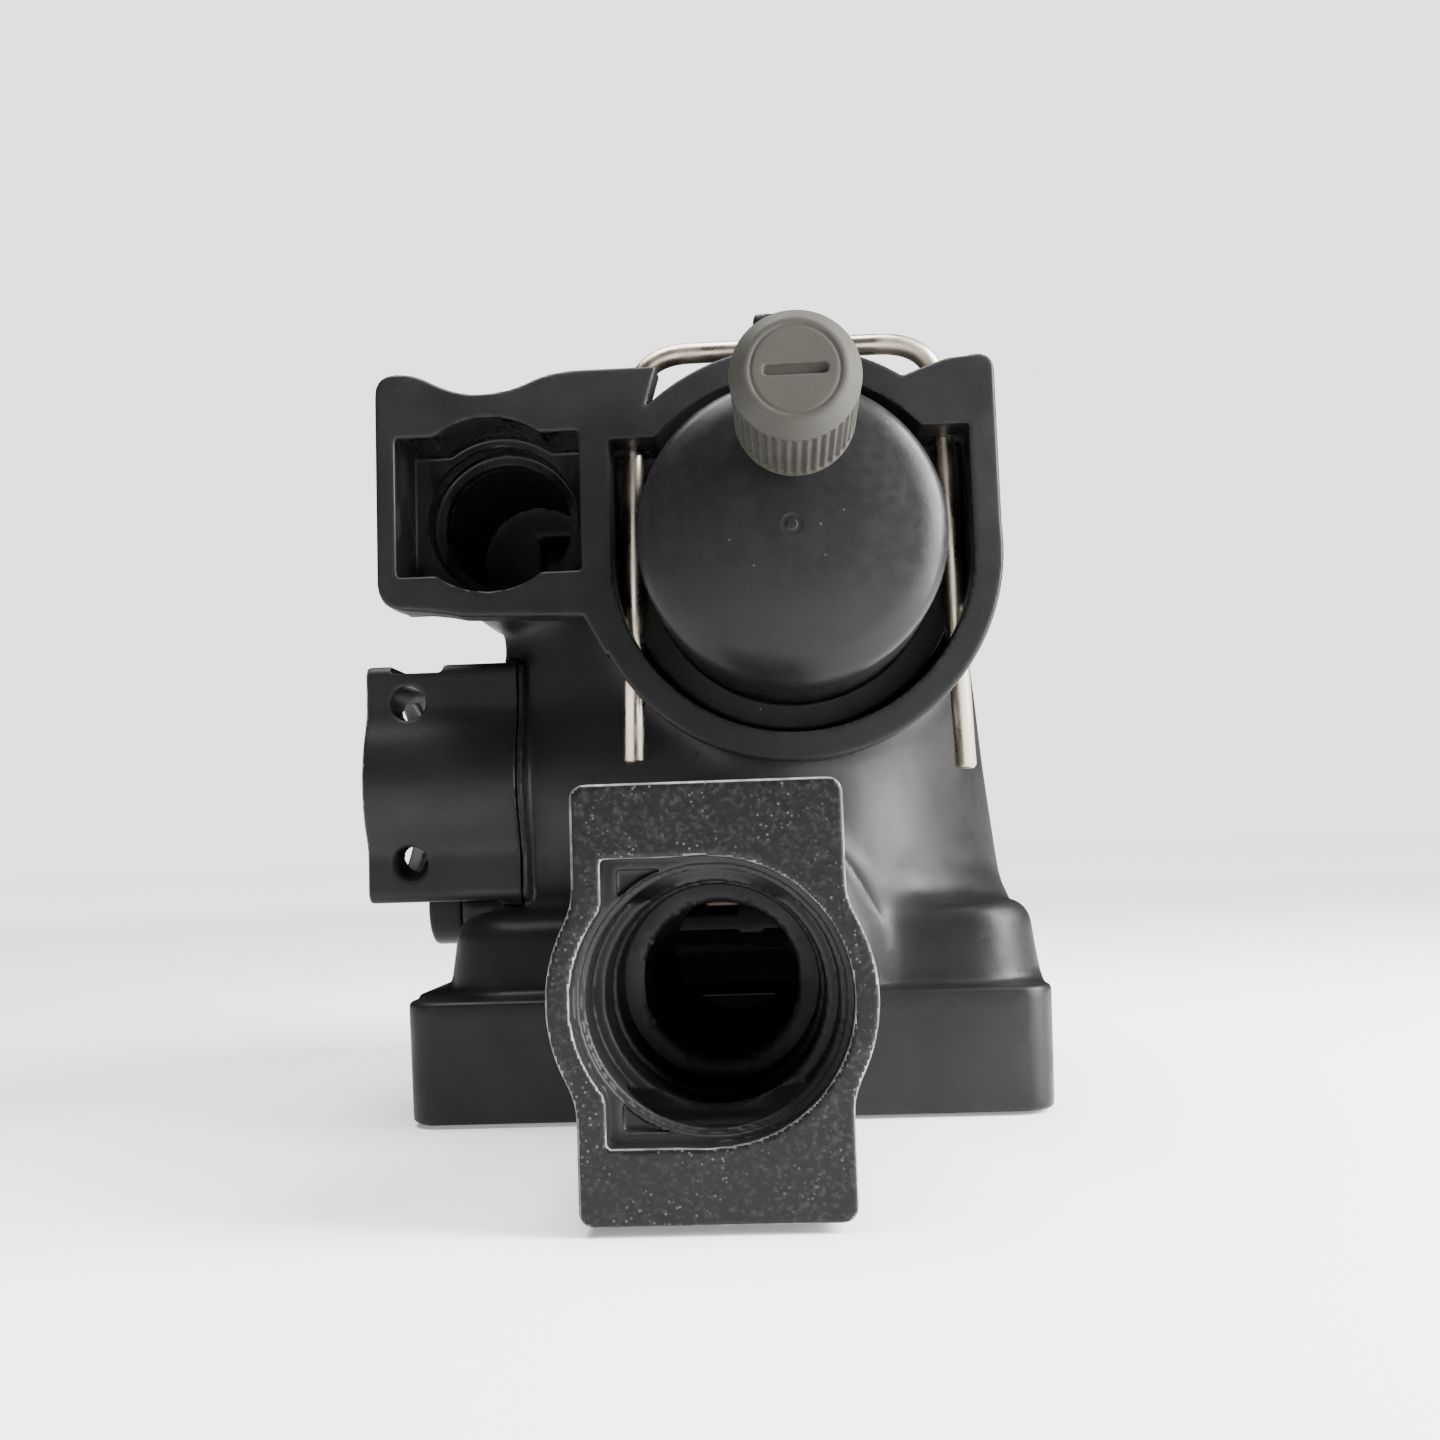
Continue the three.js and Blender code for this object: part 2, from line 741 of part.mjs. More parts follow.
function capRibOutline() {
  const shape = new THREE.Shape();
  const pitch = (2 * Math.PI) / cap.ribs;
  const valley = cap.radius - cap.ribDepth;
  for (let i = 0; i < cap.ribs; i += 1) {
    const start = i * pitch;
    [[0, valley], [0.2, cap.radius], [0.6, cap.radius], [0.8, valley]]
      .forEach(([share, radius], corner) => {
        const angle = start + share * pitch;
        const x = radius * Math.cos(angle);
        const z = radius * Math.sin(angle);
        if (i === 0 && corner === 0) shape.moveTo(x, z);
        else shape.lineTo(x, z);
      });
  }
  shape.closePath();
  return shape;
}

// The knurled cap has a chamfered top with one plain coin slot across it.
function capSolid() {
  const { radius, top, low, high, bore, roofY, slotHalf, slotWidth, slotDepth } = cap;
  const ribbed = plateAlongY(capRibOutline(), low, high).translate(outlet.x, 0, outlet.z);
  const envelope = turned("Y", outlet, [
    [0, low - overlap],
    [radius - 0.4, low - overlap],
    [radius + 0.1, low + 0.5],
    [radius + 0.1, high - 2.2],
    [top, high],
    [0, high],
  ], fine);
  const slot = block(
    outlet.x - slotHalf, outlet.x + slotHalf, high - slotDepth, high + overlap,
    outlet.z - slotWidth / 2, outlet.z + slotWidth / 2,
  );
  return cut(ribbed.intersect(envelope), rod("Y", outlet, bore, low - 2, roofY, coarse), slot);
}

// ---------------------------------------------------------------- diverter cartridge

// A sleeve with a spring guide, two valve seats and four windows at each of three stations.
function sleeveSolid() {
  const { outer, inner, left, right, guideX, seatBore, groove } = cartridge;
  const wall = 1.5;
  const rings = [
    [guideX, stem.radius + gap],
    [stemPlaces.firstDisc + stem.discThickness + 7.3, seatBore],
    [stemPlaces.secondDisc - gap - wall, seatBore],
  ].map(([at, bore]) => ring("X", cartridge, bore, inner + 0.5, at, at + wall, medium));
  const windows = [[-10, 0.5], [4.6, 8.4], [13, 27]].flatMap(([from, to]) => [
    block(from, to, cartridge.y - 9, cartridge.y + 9, cartridge.z - 3, cartridge.z + 3),
    block(from, to, cartridge.y - 3, cartridge.y + 3, cartridge.z - 9, cartridge.z + 9),
  ]);
  const grooves = sealPlaces().map((at) =>
    ring("X", cartridge, groove, outer + 1, at - 1.2, at + 1.2, medium));
  const tube = cut(ring("X", cartridge, inner, outer, left, right, medium), ...windows, ...grooves);
  return join(tube, ...rings);
}

function sealPlaces() {
  return [cartridge.left + 3, cartridge.right - 2.4];
}

function sleeveSeal(at) {
  return torus("X", cartridge, cartridge.groove + 0.5, 0.42, at, medium);
}

function glandNut() {
  const { head, end, shank, seal, sealDepth } = nut;
  const shoulderX = cartridge.bossEnd - gap;
  const inner = cartridge.left - gap;
  const bore = stem.radius + 0.1;
  const profile = [
    [bore, end],
    [head - 0.8, end],
    [head, end + 0.8],
    [head, shoulderX],
    [shank, shoulderX],
    [shank, inner],
    [seal, inner],
    [seal, inner - sealDepth],
    [bore, inner - sealDepth],
    [bore, end],
  ];
  const slot = block(end - 1, end + 1.2, cartridge.y - head, cartridge.y + head,
    cartridge.z + 3, cartridge.z + 4.4);
  return cut(turned("X", cartridge, profile, medium), slot);
}

function glandSeal() {
  const inner = cartridge.left - gap;
  return ring("X", cartridge, stem.radius + 0.1, nut.seal - 0.2, inner - nut.sealDepth + gap,
    inner - gap, coarse);
}

function stemRod() {
  const { radius, left, right } = stem;
  const profile = [[0, left], [radius - 0.4, left], [radius, left + 0.5], [radius, right], [0, right]];
  return turned("X", cartridge, profile, coarse);
}

function stemDisc(at) {
  const inner = stem.radius + 0.1;
  return ring("X", cartridge, inner, stem.disc, at, at + stem.discThickness, medium);
}

function stemWasher(at, radius, thickness) {
  return ring("X", cartridge, stem.radius + 0.1, radius, at, at + thickness, coarse);
}

// The coil spring between the stem's seat and the sleeve's guide.
function springGeometry() {
  const wire = 0.4;
  const turns = 6;
  const radius = 3.1;
  const start = stemPlaces.springSeat + 1.6 + wire + gap;
  const end = cartridge.guideX - wire - gap;
  const places = [];
  const steps = turns * 8;
  for (let i = 0; i <= steps; i += 1) {
    const angle = (2 * Math.PI * i * turns) / steps;
    const x = start + ((end - start) * i) / steps;
    const y = cartridge.y + radius * Math.cos(angle);
    places.push(new THREE.Vector3(x, y, cartridge.z + radius * Math.sin(angle)));
  }
  const section = new THREE.Shape();
  section.absarc(0, 0, wire, 0, 2 * Math.PI);
  const extrudePath = new THREE.CatmullRomCurve3(places);
  const options = { steps, extrudePath, bevelEnabled: false, curveSegments: 2 };
  return new THREE.ExtrudeGeometry(section, options);
}

// ---------------------------------------------------------------- materials

function finish(color, roughness, metalness) {
  return new THREE.MeshStandardMaterial({ color, roughness, metalness });
}

const blackNylon = finish(0x2a2a29, 0.5, 0);
const ventNylon = finish(0x303130, 0.42, 0);
const greyNylon = finish(0x79736b, 0.6, 0);
const greyAcetal = finish(0x40403f, 0.4, 0);
const rubber = finish(0x171717, 0.8, 0);
const brass = finish(0xb59a5b, 0.35, 1);
const steel = finish(0xa39b8c, 0.3, 1);
const floatFoam = finish(0xc9c6bb, 0.7, 0);

// ---------------------------------------------------------------- assembly

function piece(name, shape, material) {
  const geometry = shape.isBufferGeometry ? shape : geometryOf(shape);
  const mesh = new THREE.Mesh(geometry, material);
  mesh.name = name;
  return mesh;
}

// The vent's pieces share an axis: their group turns its outward +Y towards -Y.
function ventGroup() {
  const group = new THREE.Group();
  group.position.set(vent.x, 0, vent.z);
  group.rotation.z = Math.PI;
  group.add(
    piece("vent_housing", ventInsertSolid(), ventNylon),
    piece("vent_seal_ring", ventSealRing(), rubber),
    piece("vent_nozzle", nozzle(), brass),
    piece("vent_lever", leverSolid(), steel),
    piece("vent_lever_pin", leverPin(), steel),
    piece("vent_needle", needleSolid(), brass),
    piece("vent_float", floatSolid(), floatFoam),
    piece("vent_cap_seal", capSeal(), rubber),
    piece("vent_cap", capSolid(), greyNylon),
  );
  return group;
}

function cartridgeGroup() {
  const { springSeat, firstDisc, secondDisc } = stemPlaces;
  const group = new THREE.Group();
  group.add(
    piece("diverter_sleeve", sleeveSolid(), greyAcetal),
    piece("gland_nut", glandNut(), blackNylon),
    piece("gland_seal", glandSeal(), rubber),
    piece("diverter_stem", stemRod(), steel),
    piece("spring_seat", stemWasher(springSeat, stem.disc - 0.2, 1.6), brass),
    piece("return_spring", springGeometry(), steel),
    piece("heating_disc", stemDisc(firstDisc), rubber),
    piece("hot_water_disc", stemDisc(secondDisc), rubber),
    piece("stem_circlip", stemWasher(secondDisc + stem.discThickness + gap, 2.9, 0.8), steel),
  );
  sealPlaces().forEach((at, index) => {
    group.add(piece(`sleeve_seal_${index + 1}`, sleeveSeal(at), rubber));
  });
  return group;
}

function flangeGroup() {
  const group = new THREE.Group();
  group.add(piece("flange_seal", flangeSealRing(), rubber));
  boltPlaces().forEach((place, index) => {
    group.add(piece(`flange_insert_${index + 1}`, flangeInsert(place), brass));
  });
  return group;
}

// The part's origin is the middle of its footprint, on the plane it stands on.
function hydraulicBlock() {
  const group = new THREE.Group();
  group.add(
    piece("valve_body", valveBody(), blackNylon),
    piece("wire_clip", clipGeometry(), steel),
    ventGroup(),
    cartridgeGroup(),
    flangeGroup(),
  );
  const middleX = (portD.faceX + base.half) / 2;
  const middleY = (portC.faceY + base.half) / 2;
  group.position.set(-middleX, -middleY, 0);
  return group;
}

export default hydraulicBlock();
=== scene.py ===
"""Boiler diverter valve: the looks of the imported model, built as mesh pieces in the CAD frame.

The moulded body is built from distance fields: each field function returns, for every point of
a grid, how far it is outside (+) or inside (-) a shape, in millimetres.  Fields are joined with
soft fillets, cut, meshed by OpenVDB and laid over the CAD body.  Turned pieces are profiles with
rounded corners, spun about their own axes.
"""
import functools
import math

import bmesh
import bpy
import numpy as np
import openvdb
from mathutils import Matrix, Vector


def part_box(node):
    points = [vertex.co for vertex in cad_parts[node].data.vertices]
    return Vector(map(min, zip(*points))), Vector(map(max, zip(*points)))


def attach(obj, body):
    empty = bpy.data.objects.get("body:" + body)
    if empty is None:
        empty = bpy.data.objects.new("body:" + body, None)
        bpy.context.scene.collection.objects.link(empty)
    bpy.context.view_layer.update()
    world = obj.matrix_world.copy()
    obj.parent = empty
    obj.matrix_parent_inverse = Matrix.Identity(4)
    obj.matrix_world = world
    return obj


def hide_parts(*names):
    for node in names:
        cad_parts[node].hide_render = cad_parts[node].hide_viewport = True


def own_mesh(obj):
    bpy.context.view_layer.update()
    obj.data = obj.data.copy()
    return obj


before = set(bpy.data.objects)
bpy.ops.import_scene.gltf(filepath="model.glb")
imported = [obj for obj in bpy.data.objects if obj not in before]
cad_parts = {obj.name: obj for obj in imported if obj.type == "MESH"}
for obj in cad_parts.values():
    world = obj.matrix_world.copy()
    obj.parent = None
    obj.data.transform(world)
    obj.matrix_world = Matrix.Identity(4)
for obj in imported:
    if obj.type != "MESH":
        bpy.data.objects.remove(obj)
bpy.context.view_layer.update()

MM = 0.001

# ---- places, from the frame


def box_mm(node):
    """A node's lowest and highest corners, in millimetres."""
    low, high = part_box(node)
    return np.array(low) / MM, np.array(high) / MM


body_low, body_high = box_mm("valve_body")

# The fields are written round the middle of the pump flange's underside.
BASE_HALF = 46.5
ORIGIN = Vector((body_high[0] - BASE_HALF, body_high[1] - BASE_HALF, 0.0))


def middle_of(node):
    """The middle of a node's box, in millimetres from the flange's middle."""
    low, high = box_mm(node)
    return (low + high) / 2 - np.array(ORIGIN)


vent_middle = middle_of("vent_seal_ring")
VENT_X, VENT_Z = float(vent_middle[0]), float(vent_middle[2])
VENT_CENTRE = (VENT_X, VENT_Z)
VENT_AXIS = (VENT_X, 0, VENT_Z)
cap_middle = middle_of("vent_cap")
CAP_X, CAP_Z = float(cap_middle[0]), float(cap_middle[2])
CAP_CENTRE = (CAP_X, CAP_Z)
CAP_AXIS = (CAP_X, 0, CAP_Z)
nut_middle = middle_of("gland_nut")
CARTRIDGE_Y, CARTRIDGE_Z = float(nut_middle[1]), float(nut_middle[2])
CARTRIDGE = (CARTRIDGE_Y, CARTRIDGE_Z)
CARTRIDGE_AXIS = (0, CARTRIDGE_Y, CARTRIDGE_Z)
CLIP_Y = float(middle_of("wire_clip")[1])
CLIP_LEG_X = 22.95  # each way from the vent's axis

BASE_HEIGHT = 17.6
BASE_BORE = 31.0
PLATE_Y = -55.5  # front of the plate that carries the vent and the upper socket
PLATE_BACK = -50.3
SOCKET_A = (-30.8, 87.4)  # x, z of the upper socket
SOCKET_C = (1.3, 23.0)  # x, z of the large socket
SOCKET_C_FACE = float(body_low[1] - ORIGIN[1])
SOCKET_D = (-25.0, 49.35)  # y, z of the side socket
SOCKET_D_FACE = float(body_low[0] - ORIGIN[0])
CROSS = (-16.0, SOCKET_A[1] - 2)  # y, z of the passage from the upper socket to the vent
TOWER = (5.5, -4.0)  # x, y
FLANGE_SEAL_RADIUS = 35.5
SCREWS = (-38.0, 38.0)  # both x and y of the flange's screws
SLEEVE_SEALS = (-35.0, 33.6)  # x
LEVER_PIN_Y, LEVER_PIN_Z = -61.5, VENT_Z + 15.4
OUT = -2.0  # where a hollow starts, measured in from the face it opens in

# ---- distance fields


def join(a, b, fillet=0.0):
    """Union of two fields, with a concave fillet where they meet."""
    if not fillet:
        return np.minimum(a, b)
    share = np.clip(0.5 + 0.5 * (b - a) / fillet, 0, 1)
    return b + (a - b) * share - fillet * share * (1 - share)


def cut(a, b, edge=0.0):
    """Field a with b taken out, and the edge between them eased."""
    return -join(-a, b, edge)


def nearest_of(*fields):
    """Union of any number of fields, without fillets."""
    return functools.reduce(np.minimum, fields)


def rounded_pair(side, cap, edge):
    """A side distance and an end distance put together, with a convex rounded edge."""
    side = side + edge
    cap = cap + edge
    outside = np.hypot(np.maximum(side, 0), np.maximum(cap, 0))
    return outside + np.minimum(np.maximum(side, cap), 0) - edge


def span(along, start, end):
    """Distance outside a stretch of one axis."""
    return np.abs(along - (start + end) / 2) - abs(end - start) / 2


def rod(a, b, along, centre, radius, start, end, edge=0.0):
    """Distance to a round rod from start to end along an axis."""
    side = np.hypot(a - centre[0], b - centre[1]) - radius
    return rounded_pair(side, span(along, start, end), edge)


def rectangle(a, b, low, high, corner=0.0):
    """Flat distance to a rectangle with round corners, low and high being its corners."""
    qa = span(a, low[0], high[0]) + corner
    qb = span(b, low[1], high[1]) + corner
    outside = np.hypot(np.maximum(qa, 0), np.maximum(qb, 0))
    return outside + np.minimum(np.maximum(qa, qb), 0) - corner


def outline(a, b, points):
    """Flat distance to a closed outline of straight runs between points."""
    nearest = np.full(np.broadcast_shapes(a.shape, b.shape), 1e9, dtype=np.float32)
    inside = np.zeros(nearest.shape, dtype=bool)
    for (pa, pb), (qa, qb) in zip(points, points[1:] + points[:1]):
        ea, eb = qa - pa, qb - pb
        da, db = a - pa, b - pb
        share = np.clip((da * ea + db * eb) / (ea * ea + eb * eb), 0, 1)
        nearest = np.minimum(nearest, (da - share * ea) ** 2 + (db - share * eb) ** 2)
        if eb:
            crosses = ((b >= pb) != (b >= qb)) & (da < db * ea / eb)
            inside ^= crosses
    return np.sqrt(nearest) * np.where(inside, -1, 1)


def cone(a, b, along, centre, profile):
    """Distance to a turned shape whose radius follows (place, radius) pairs along its axis."""
    places, radii = zip(*profile)
    radius = np.interp(along, places, radii).astype(np.float32)
    side = np.hypot(a - centre[0], b - centre[1]) - radius
    return np.maximum(side, span(along, places[0], places[-1]))


def curve(start, control, end, count=8):
    """Points of a curved stretch of an outline, without its first."""
    points = []
    for i in range(1, count + 1):
        t = i / count
        points.append(tuple(
            (1 - t) ** 2 * s + 2 * t * (1 - t) * c + t * t * e
            for s, c, e in zip(start, control, end)
        ))
    return points


# ---- the moulded body, outside


def flange_field(x, y, z):
    draft = 0.025 * (BASE_HEIGHT - z)
    side = rectangle(x, y, (-BASE_HALF, -BASE_HALF), (BASE_HALF, BASE_HALF), 5.0) + draft
    return rounded_pair(side, span(z, 0, BASE_HEIGHT), 0.9)


def shoulder_field(x, y, z):
    """A pad on the flange with sloping sides and a well rounded top, and its hollow left flank."""
    slope = 0.13 * np.maximum(z - BASE_HEIGHT, 0) + np.maximum(BASE_HEIGHT - 0.6 - z, 0)
    side = rectangle(x, y, (-42.4, -43.0), (46.6, 43.0), 11.0) + slope
    pad = rounded_pair(side, span(z, 8.0, 29.3), 3.4)
    hollow_radius = 8.0
    corner = np.hypot(x + BASE_HALF, z - BASE_HEIGHT - hollow_radius)
    flank = np.maximum(hollow_radius - corner, x + 41.0)
    flank = np.maximum(flank, np.maximum(-x - BASE_HALF + 0.6, z - BASE_HEIGHT - hollow_radius))
    flank = np.maximum(flank, np.maximum(span(y, -36.0, 36.0), BASE_HEIGHT - 3 - z))
    return join(pad, flank, 1.0)


def tower_field(x, y, z):
    profile = [(19.0, 39.9), (28.0, 39.7), (50.0, 37.5), (74.0, 35.6), (80.0, 32.4), (84.0, 23.6)]
    shell = cone(x, y, z, TOWER, profile)
    side = rectangle(x, y, (-33.6, -37.0), (6.0, 30.0), 8.0)
    flank = rounded_pair(side, span(z, 10.0, 76.0), 2.5)
    return join(shell, flank, 4.0)


def barrel_field(x, y, z):
    return rod(x, z, y, VENT_CENTRE, 27.4, PLATE_Y + 1, 26.0, 7.0)


def lug_field(x, y, z):
    side = rectangle(x, y, (7.2, -45.4), (14.5, -37.0), 0.8)
    return rounded_pair(side, span(z, 100.0, 116.8), 0.7)


def side_pipe_field(x, y, z):
    return rod(y, z, x, SOCKET_D, 13.4, SOCKET_D_FACE + 20, TOWER[0])


def cartridge_boss_field(x, y, z):
    return rod(y, z, x, CARTRIDGE, 9.2, -46.6, TOWER[0], 0.8)


def upper_pipe_field(x, y, z):
    """The pipe behind the upper socket, and the one that leads from it to the vent."""
    pipe = rod(x, z, y, SOCKET_A, 13.9, PLATE_Y + 1, -8.0, 4.0)
    cross = rod(y, z, x, CROSS, 11.9, SOCKET_A[0], VENT_X)
    return join(pipe, cross, 2.0)


def large_pipe_field(x, y, z):
    """The pipe behind the large socket, widening a little where it enters the body."""
    flare = 4.2
    start = -43.4 - flare
    run = [(SOCKET_C_FACE + 12, 16.4), (start, 16.4)]
    for i in range(1, 7):
        angle = i / 6 * math.pi / 2
        run.append((start + flare * math.sin(angle), 16.4 + flare * (1 - math.cos(angle))))
    run.append((TOWER[1], run[-1][1]))
    return np.maximum(cone(x, z, y, SOCKET_C, run), 1.0 - z)


def socket_block_field(a, b, along, centre, half_height, face, length):
    """The waisted block at the mouth of a socket, with a finely eased rim."""
    half_width, waist = 14.15, 17.1
    low = (centre[0] - half_width, centre[1] - half_height)
    high = (centre[0] + half_width, centre[1] + half_height)
    flat = rectangle(a, b, low, high, 1.6)
    ring = np.hypot(a - centre[0], b - centre[1]) - waist
    return rounded_pair(join(flat, ring, 1.2), span(along, face, face + length), 0.35)


def large_block_field(x, y, z):
    return socket_block_field(x, z, y, SOCKET_C, 22.4, SOCKET_C_FACE, 22.0)


def side_block_field(x, y, z):
    return socket_block_field(y, z, x, SOCKET_D, 17.85, SOCKET_D_FACE, 24.0)


def plate_outline():
    """The plate round the upper socket, in x and z, running clockwise from beside the vent."""
    ax, az = SOCKET_A
    left = ax - 15.9
    top = az + 19.3
    low = az - 14.6
    dip = (ax - 1.0, top - 3.4)
    points = [(VENT_X - 26.1, VENT_Z), (VENT_X - 18.0, top - 0.6), (ax + 13.6, top - 0.6)]
    points += curve(points[-1], (ax + 9.2, top - 0.6), (ax + 6.2, top - 2.0))
    points += curve(points[-1], (ax + 3.2, dip[1]), dip)
    points += curve(dip, (ax - 4.5, dip[1]), (ax - 8.6, top - 1.0))
    points += curve(points[-1], (ax - 10.6, top), (left + 3.2, top), 4)
    points += curve(points[-1], (left, top), (left, top - 3.2), 6)
    points.append((left, low + 3.6))
    points += curve(points[-1], (left + 0.5, low + 0.4), (left + 3.4, low), 6)
    points += curve(points[-1], (ax - 7.0, low - 0.4), (ax - 4.0, low - 1.2), 6)
    points += [(VENT_X - 29.2, low - 1.9), (VENT_X - 26.1, VENT_Z - 14.0)]
    return points


def ear_outline():
    """The corner that stands beside the vent ring, in x and z."""
    right = VENT_X + 29.1
    top = VENT_Z + 26.8
    points = [(VENT_X + 15.6, VENT_Z + 10.0), (right, VENT_Z), (right, top - 2.4)]
    points += curve(points[-1], (right, top), (right - 2.4, top), 6)
    points.append((VENT_X + 22.5, top - 0.4))
    points += curve(points[-1], (VENT_X + 18.6, top - 1.6), (VENT_X + 14.4, top - 3.4), 6)
    return points


def plate_field(x, y, z):
    ring = np.hypot(x - VENT_X, z - VENT_Z) - 29.2
    flat = join(join(ring, outline(x, z, plate_outline())), outline(x, z, ear_outline()))
    return rounded_pair(flat, span(y, PLATE_Y, PLATE_BACK), 0.45)


def window_walls_field(x, y, z):
    """Square walls behind the plate round the vent's windows and the upper socket's recess."""
    ax, az = SOCKET_A
    vent = rectangle(x, z, (VENT_X - 27.5, VENT_Z), (VENT_X + 27.5, VENT_Z + 19.1), 1.0)
    vent = np.maximum(vent, span(y, PLATE_Y + 1, CLIP_Y + 5))
    recess = rectangle(x, z, (ax - 15.05, az - 13.6), (ax + 15.05, az + 14.4), 1.0)
    recess = np.maximum(recess, span(y, PLATE_Y + 1, PLATE_Y + 13))
    return np.minimum(vent, recess)


# ---- the moulded body, hollows


def stepped_bore(a, b, along, centre, face, steps):
    """A bore whose radius changes at each (depth, radius) pair, with eased steps."""
    across = np.hypot(a - centre[0], b - centre[1])
    depth = along - face
    return nearest_of(*(
        rounded_pair(across - radius, span(depth, OUT, end), 0.15) for end, radius in steps
    ))


UPPER_STEPS = [(11.0, 12.4), (15.6, 11.1), (-12.0 - PLATE_Y, 9.5)]
SOCKET_STEPS = [(3.0, 13.9), (8.0, 13.3), (14.0, 11.9), (22.0, 11.3)]
LARGE_STEPS = SOCKET_STEPS + [(TOWER[1] - SOCKET_C_FACE, 9.0)]
SIDE_STEPS = SOCKET_STEPS + [(-29.6 - SOCKET_D_FACE, 9.0)]


def key_recess(a, b, along, centre, face):
    """The shallow recess at a socket's mouth: round, but square and deeper on one side."""
    depth = along - face
    middle_a, middle_b = centre
    across = np.hypot(a - middle_a, b - middle_b)
    square = rectangle(a, b, (middle_a - 11.1, middle_b - 14.6), (middle_a, middle_b + 14.6), 0.5)
    recess = np.maximum(join(square, across - 14.6, 0.6), span(depth, OUT, 2.4))
    ledge = rectangle(a, b, (middle_a - 9.7, middle_b - 13.4), (middle_a - 1, middle_b + 13.4), 0.3)
    ledge = np.maximum(ledge, 14.3 - across)
    return np.minimum(recess, np.maximum(ledge, span(depth, OUT, 3.1)))


def vent_chamber_field(x, y, z):
    """The vent's stepped chamber, and the windows beside it that show the wire clip."""
    entry = rod(x, z, y, VENT_CENTRE, 25.1, PLATE_Y + OUT, PLATE_Y + 15)
    seat = rod(x, z, y, VENT_CENTRE, 22.0, PLATE_Y + OUT, PLATE_Y + 23.5)
    chamber = rod(x, z, y, VENT_CENTRE, 21.0, PLATE_Y + OUT, 18.0, 4.0)
    windows = rectangle(x, z, (VENT_X - 25.1, VENT_Z), (VENT_X + 25.1, VENT_Z + 16.9), 0.4)
    windows = np.maximum(windows, span(y, PLATE_Y + OUT, CLIP_Y + 3))
    return nearest_of(entry, seat, chamber, windows)


def sockets_field(x, y, z):
    """The bores of the three sockets, their keyed mouths and the passage to the vent."""
    ax, az = SOCKET_A
    recess = rectangle(x, z, (ax - 13.05, az - 9.9), (ax + 13.05, az + 9.9), 0.4)
    return nearest_of(
        stepped_bore(x, z, y, SOCKET_A, PLATE_Y, UPPER_STEPS),
        np.maximum(recess, span(y, PLATE_Y + OUT, PLATE_Y + 11)),
        rod(y, z, x, CROSS, 7.5, ax, VENT_X),
        stepped_bore(x, z, y, SOCKET_C, SOCKET_C_FACE, LARGE_STEPS),
        key_recess(x, z, y, SOCKET_C, SOCKET_C_FACE),
        stepped_bore(y, z, x, SOCKET_D, SOCKET_D_FACE, SIDE_STEPS),
        key_recess(y, z, x, SOCKET_D, SOCKET_D_FACE),
    )


def hollow_field(x, y, z):
    """Every passage of the body."""
    floor = BASE_HEIGHT - 1
    pump = rod(x, y, z, (0, 0), BASE_BORE, OUT, floor + 2)
    tower = rod(x, y, z, TOWER, 32.4, floor, 70.0, 2.0)
    side = rectangle(x, y, (-30.6, -34.0), (TOWER[0], 27.0), 5.0)
    side = np.maximum(side, span(z, floor, 73.0))
    return nearest_of(pump, tower, side, vent_chamber_field(x, y, z), sockets_field(x, y, z))


def clip_slots_field(x, y, z):
    """The slots that the wire clip's legs slide in."""
    slots = []
    for side in (-1, 1):
        middle = VENT_X + side * CLIP_LEG_X
        slot = rectangle(x, y, (middle - 2.8, CLIP_Y - 1.8), (middle + 2.8, CLIP_Y + 1.8), 0.3)
        slots.append(np.maximum(slot, span(z, 46.0, 113.0)))
    return nearest_of(*slots)


def pin_holes_field(x, y, z):
    """Cross holes for the clips of the large and the side socket, and the side one's notch."""
    cx, cz = SOCKET_C
    dy, dz = SOCKET_D
    c_place = SOCKET_C_FACE + 6.4
    d_place = SOCKET_D_FACE + 6.4
    notch = rectangle(x, z, (d_place - 2.6, dz + 16.6), (d_place + 5.2, dz + 20.0), 0.6)
    holes = [np.maximum(notch, span(y, dy - 19, dy + 19))]
    for side in (-12.0, 12.0):
        holes.append(rod(y, z, x, (c_place, cz + side), 2.6, cx - 19, cx + 19))
        holes.append(rod(x, z, y, (d_place, dz + side), 2.6, dy - 19, dy + 19))
    return nearest_of(*holes)


def small_hollows_field(x, y, z):
    """The cartridge's bore, the seal groove and the four screw bosses."""
    bore = rod(y, z, x, CARTRIDGE, 6.7, -48.0, 36.3)
    groove = np.maximum(np.abs(np.hypot(x, y) - FLANGE_SEAL_RADIUS) - 1.9, z - 2.6)
    screws = [rod(x, y, z, (sx, sy), 3.7, OUT, 11.0) for sx in SCREWS for sy in SCREWS]
    return nearest_of(bore, groove, *screws)


def inner_parts_field(x, y, z):
    """What stands inside the passages: the cartridge's inner seat and two ribs in the pump bore."""
    seat = rod(y, z, x, CARTRIDGE, 9.2, 31.0, 41.0)
    rib = np.maximum(span(x, -31.5, 31.5), span(y, -24.5, -22.5))
    ribs = [np.maximum(rib, span(z, height, height + 2)) for height in (9.0, 15.0)]
    return nearest_of(seat, *ribs)


# What joins the tower, in order, each with the fillet where it meets the rest.
JOINED = (
    (shoulder_field, 4.5),
    (flange_field, 1.6),
    (barrel_field, 5.0),
    (upper_pipe_field, 3.0),
    (large_pipe_field, 4.0),
    (side_pipe_field, 4.0),
    (cartridge_boss_field, 2.0),
    (lug_field, 1.5),
    (window_walls_field, 0.8),
    (plate_field, 0.8),
    (large_block_field, 1.2),
    (side_block_field, 2.0),
)


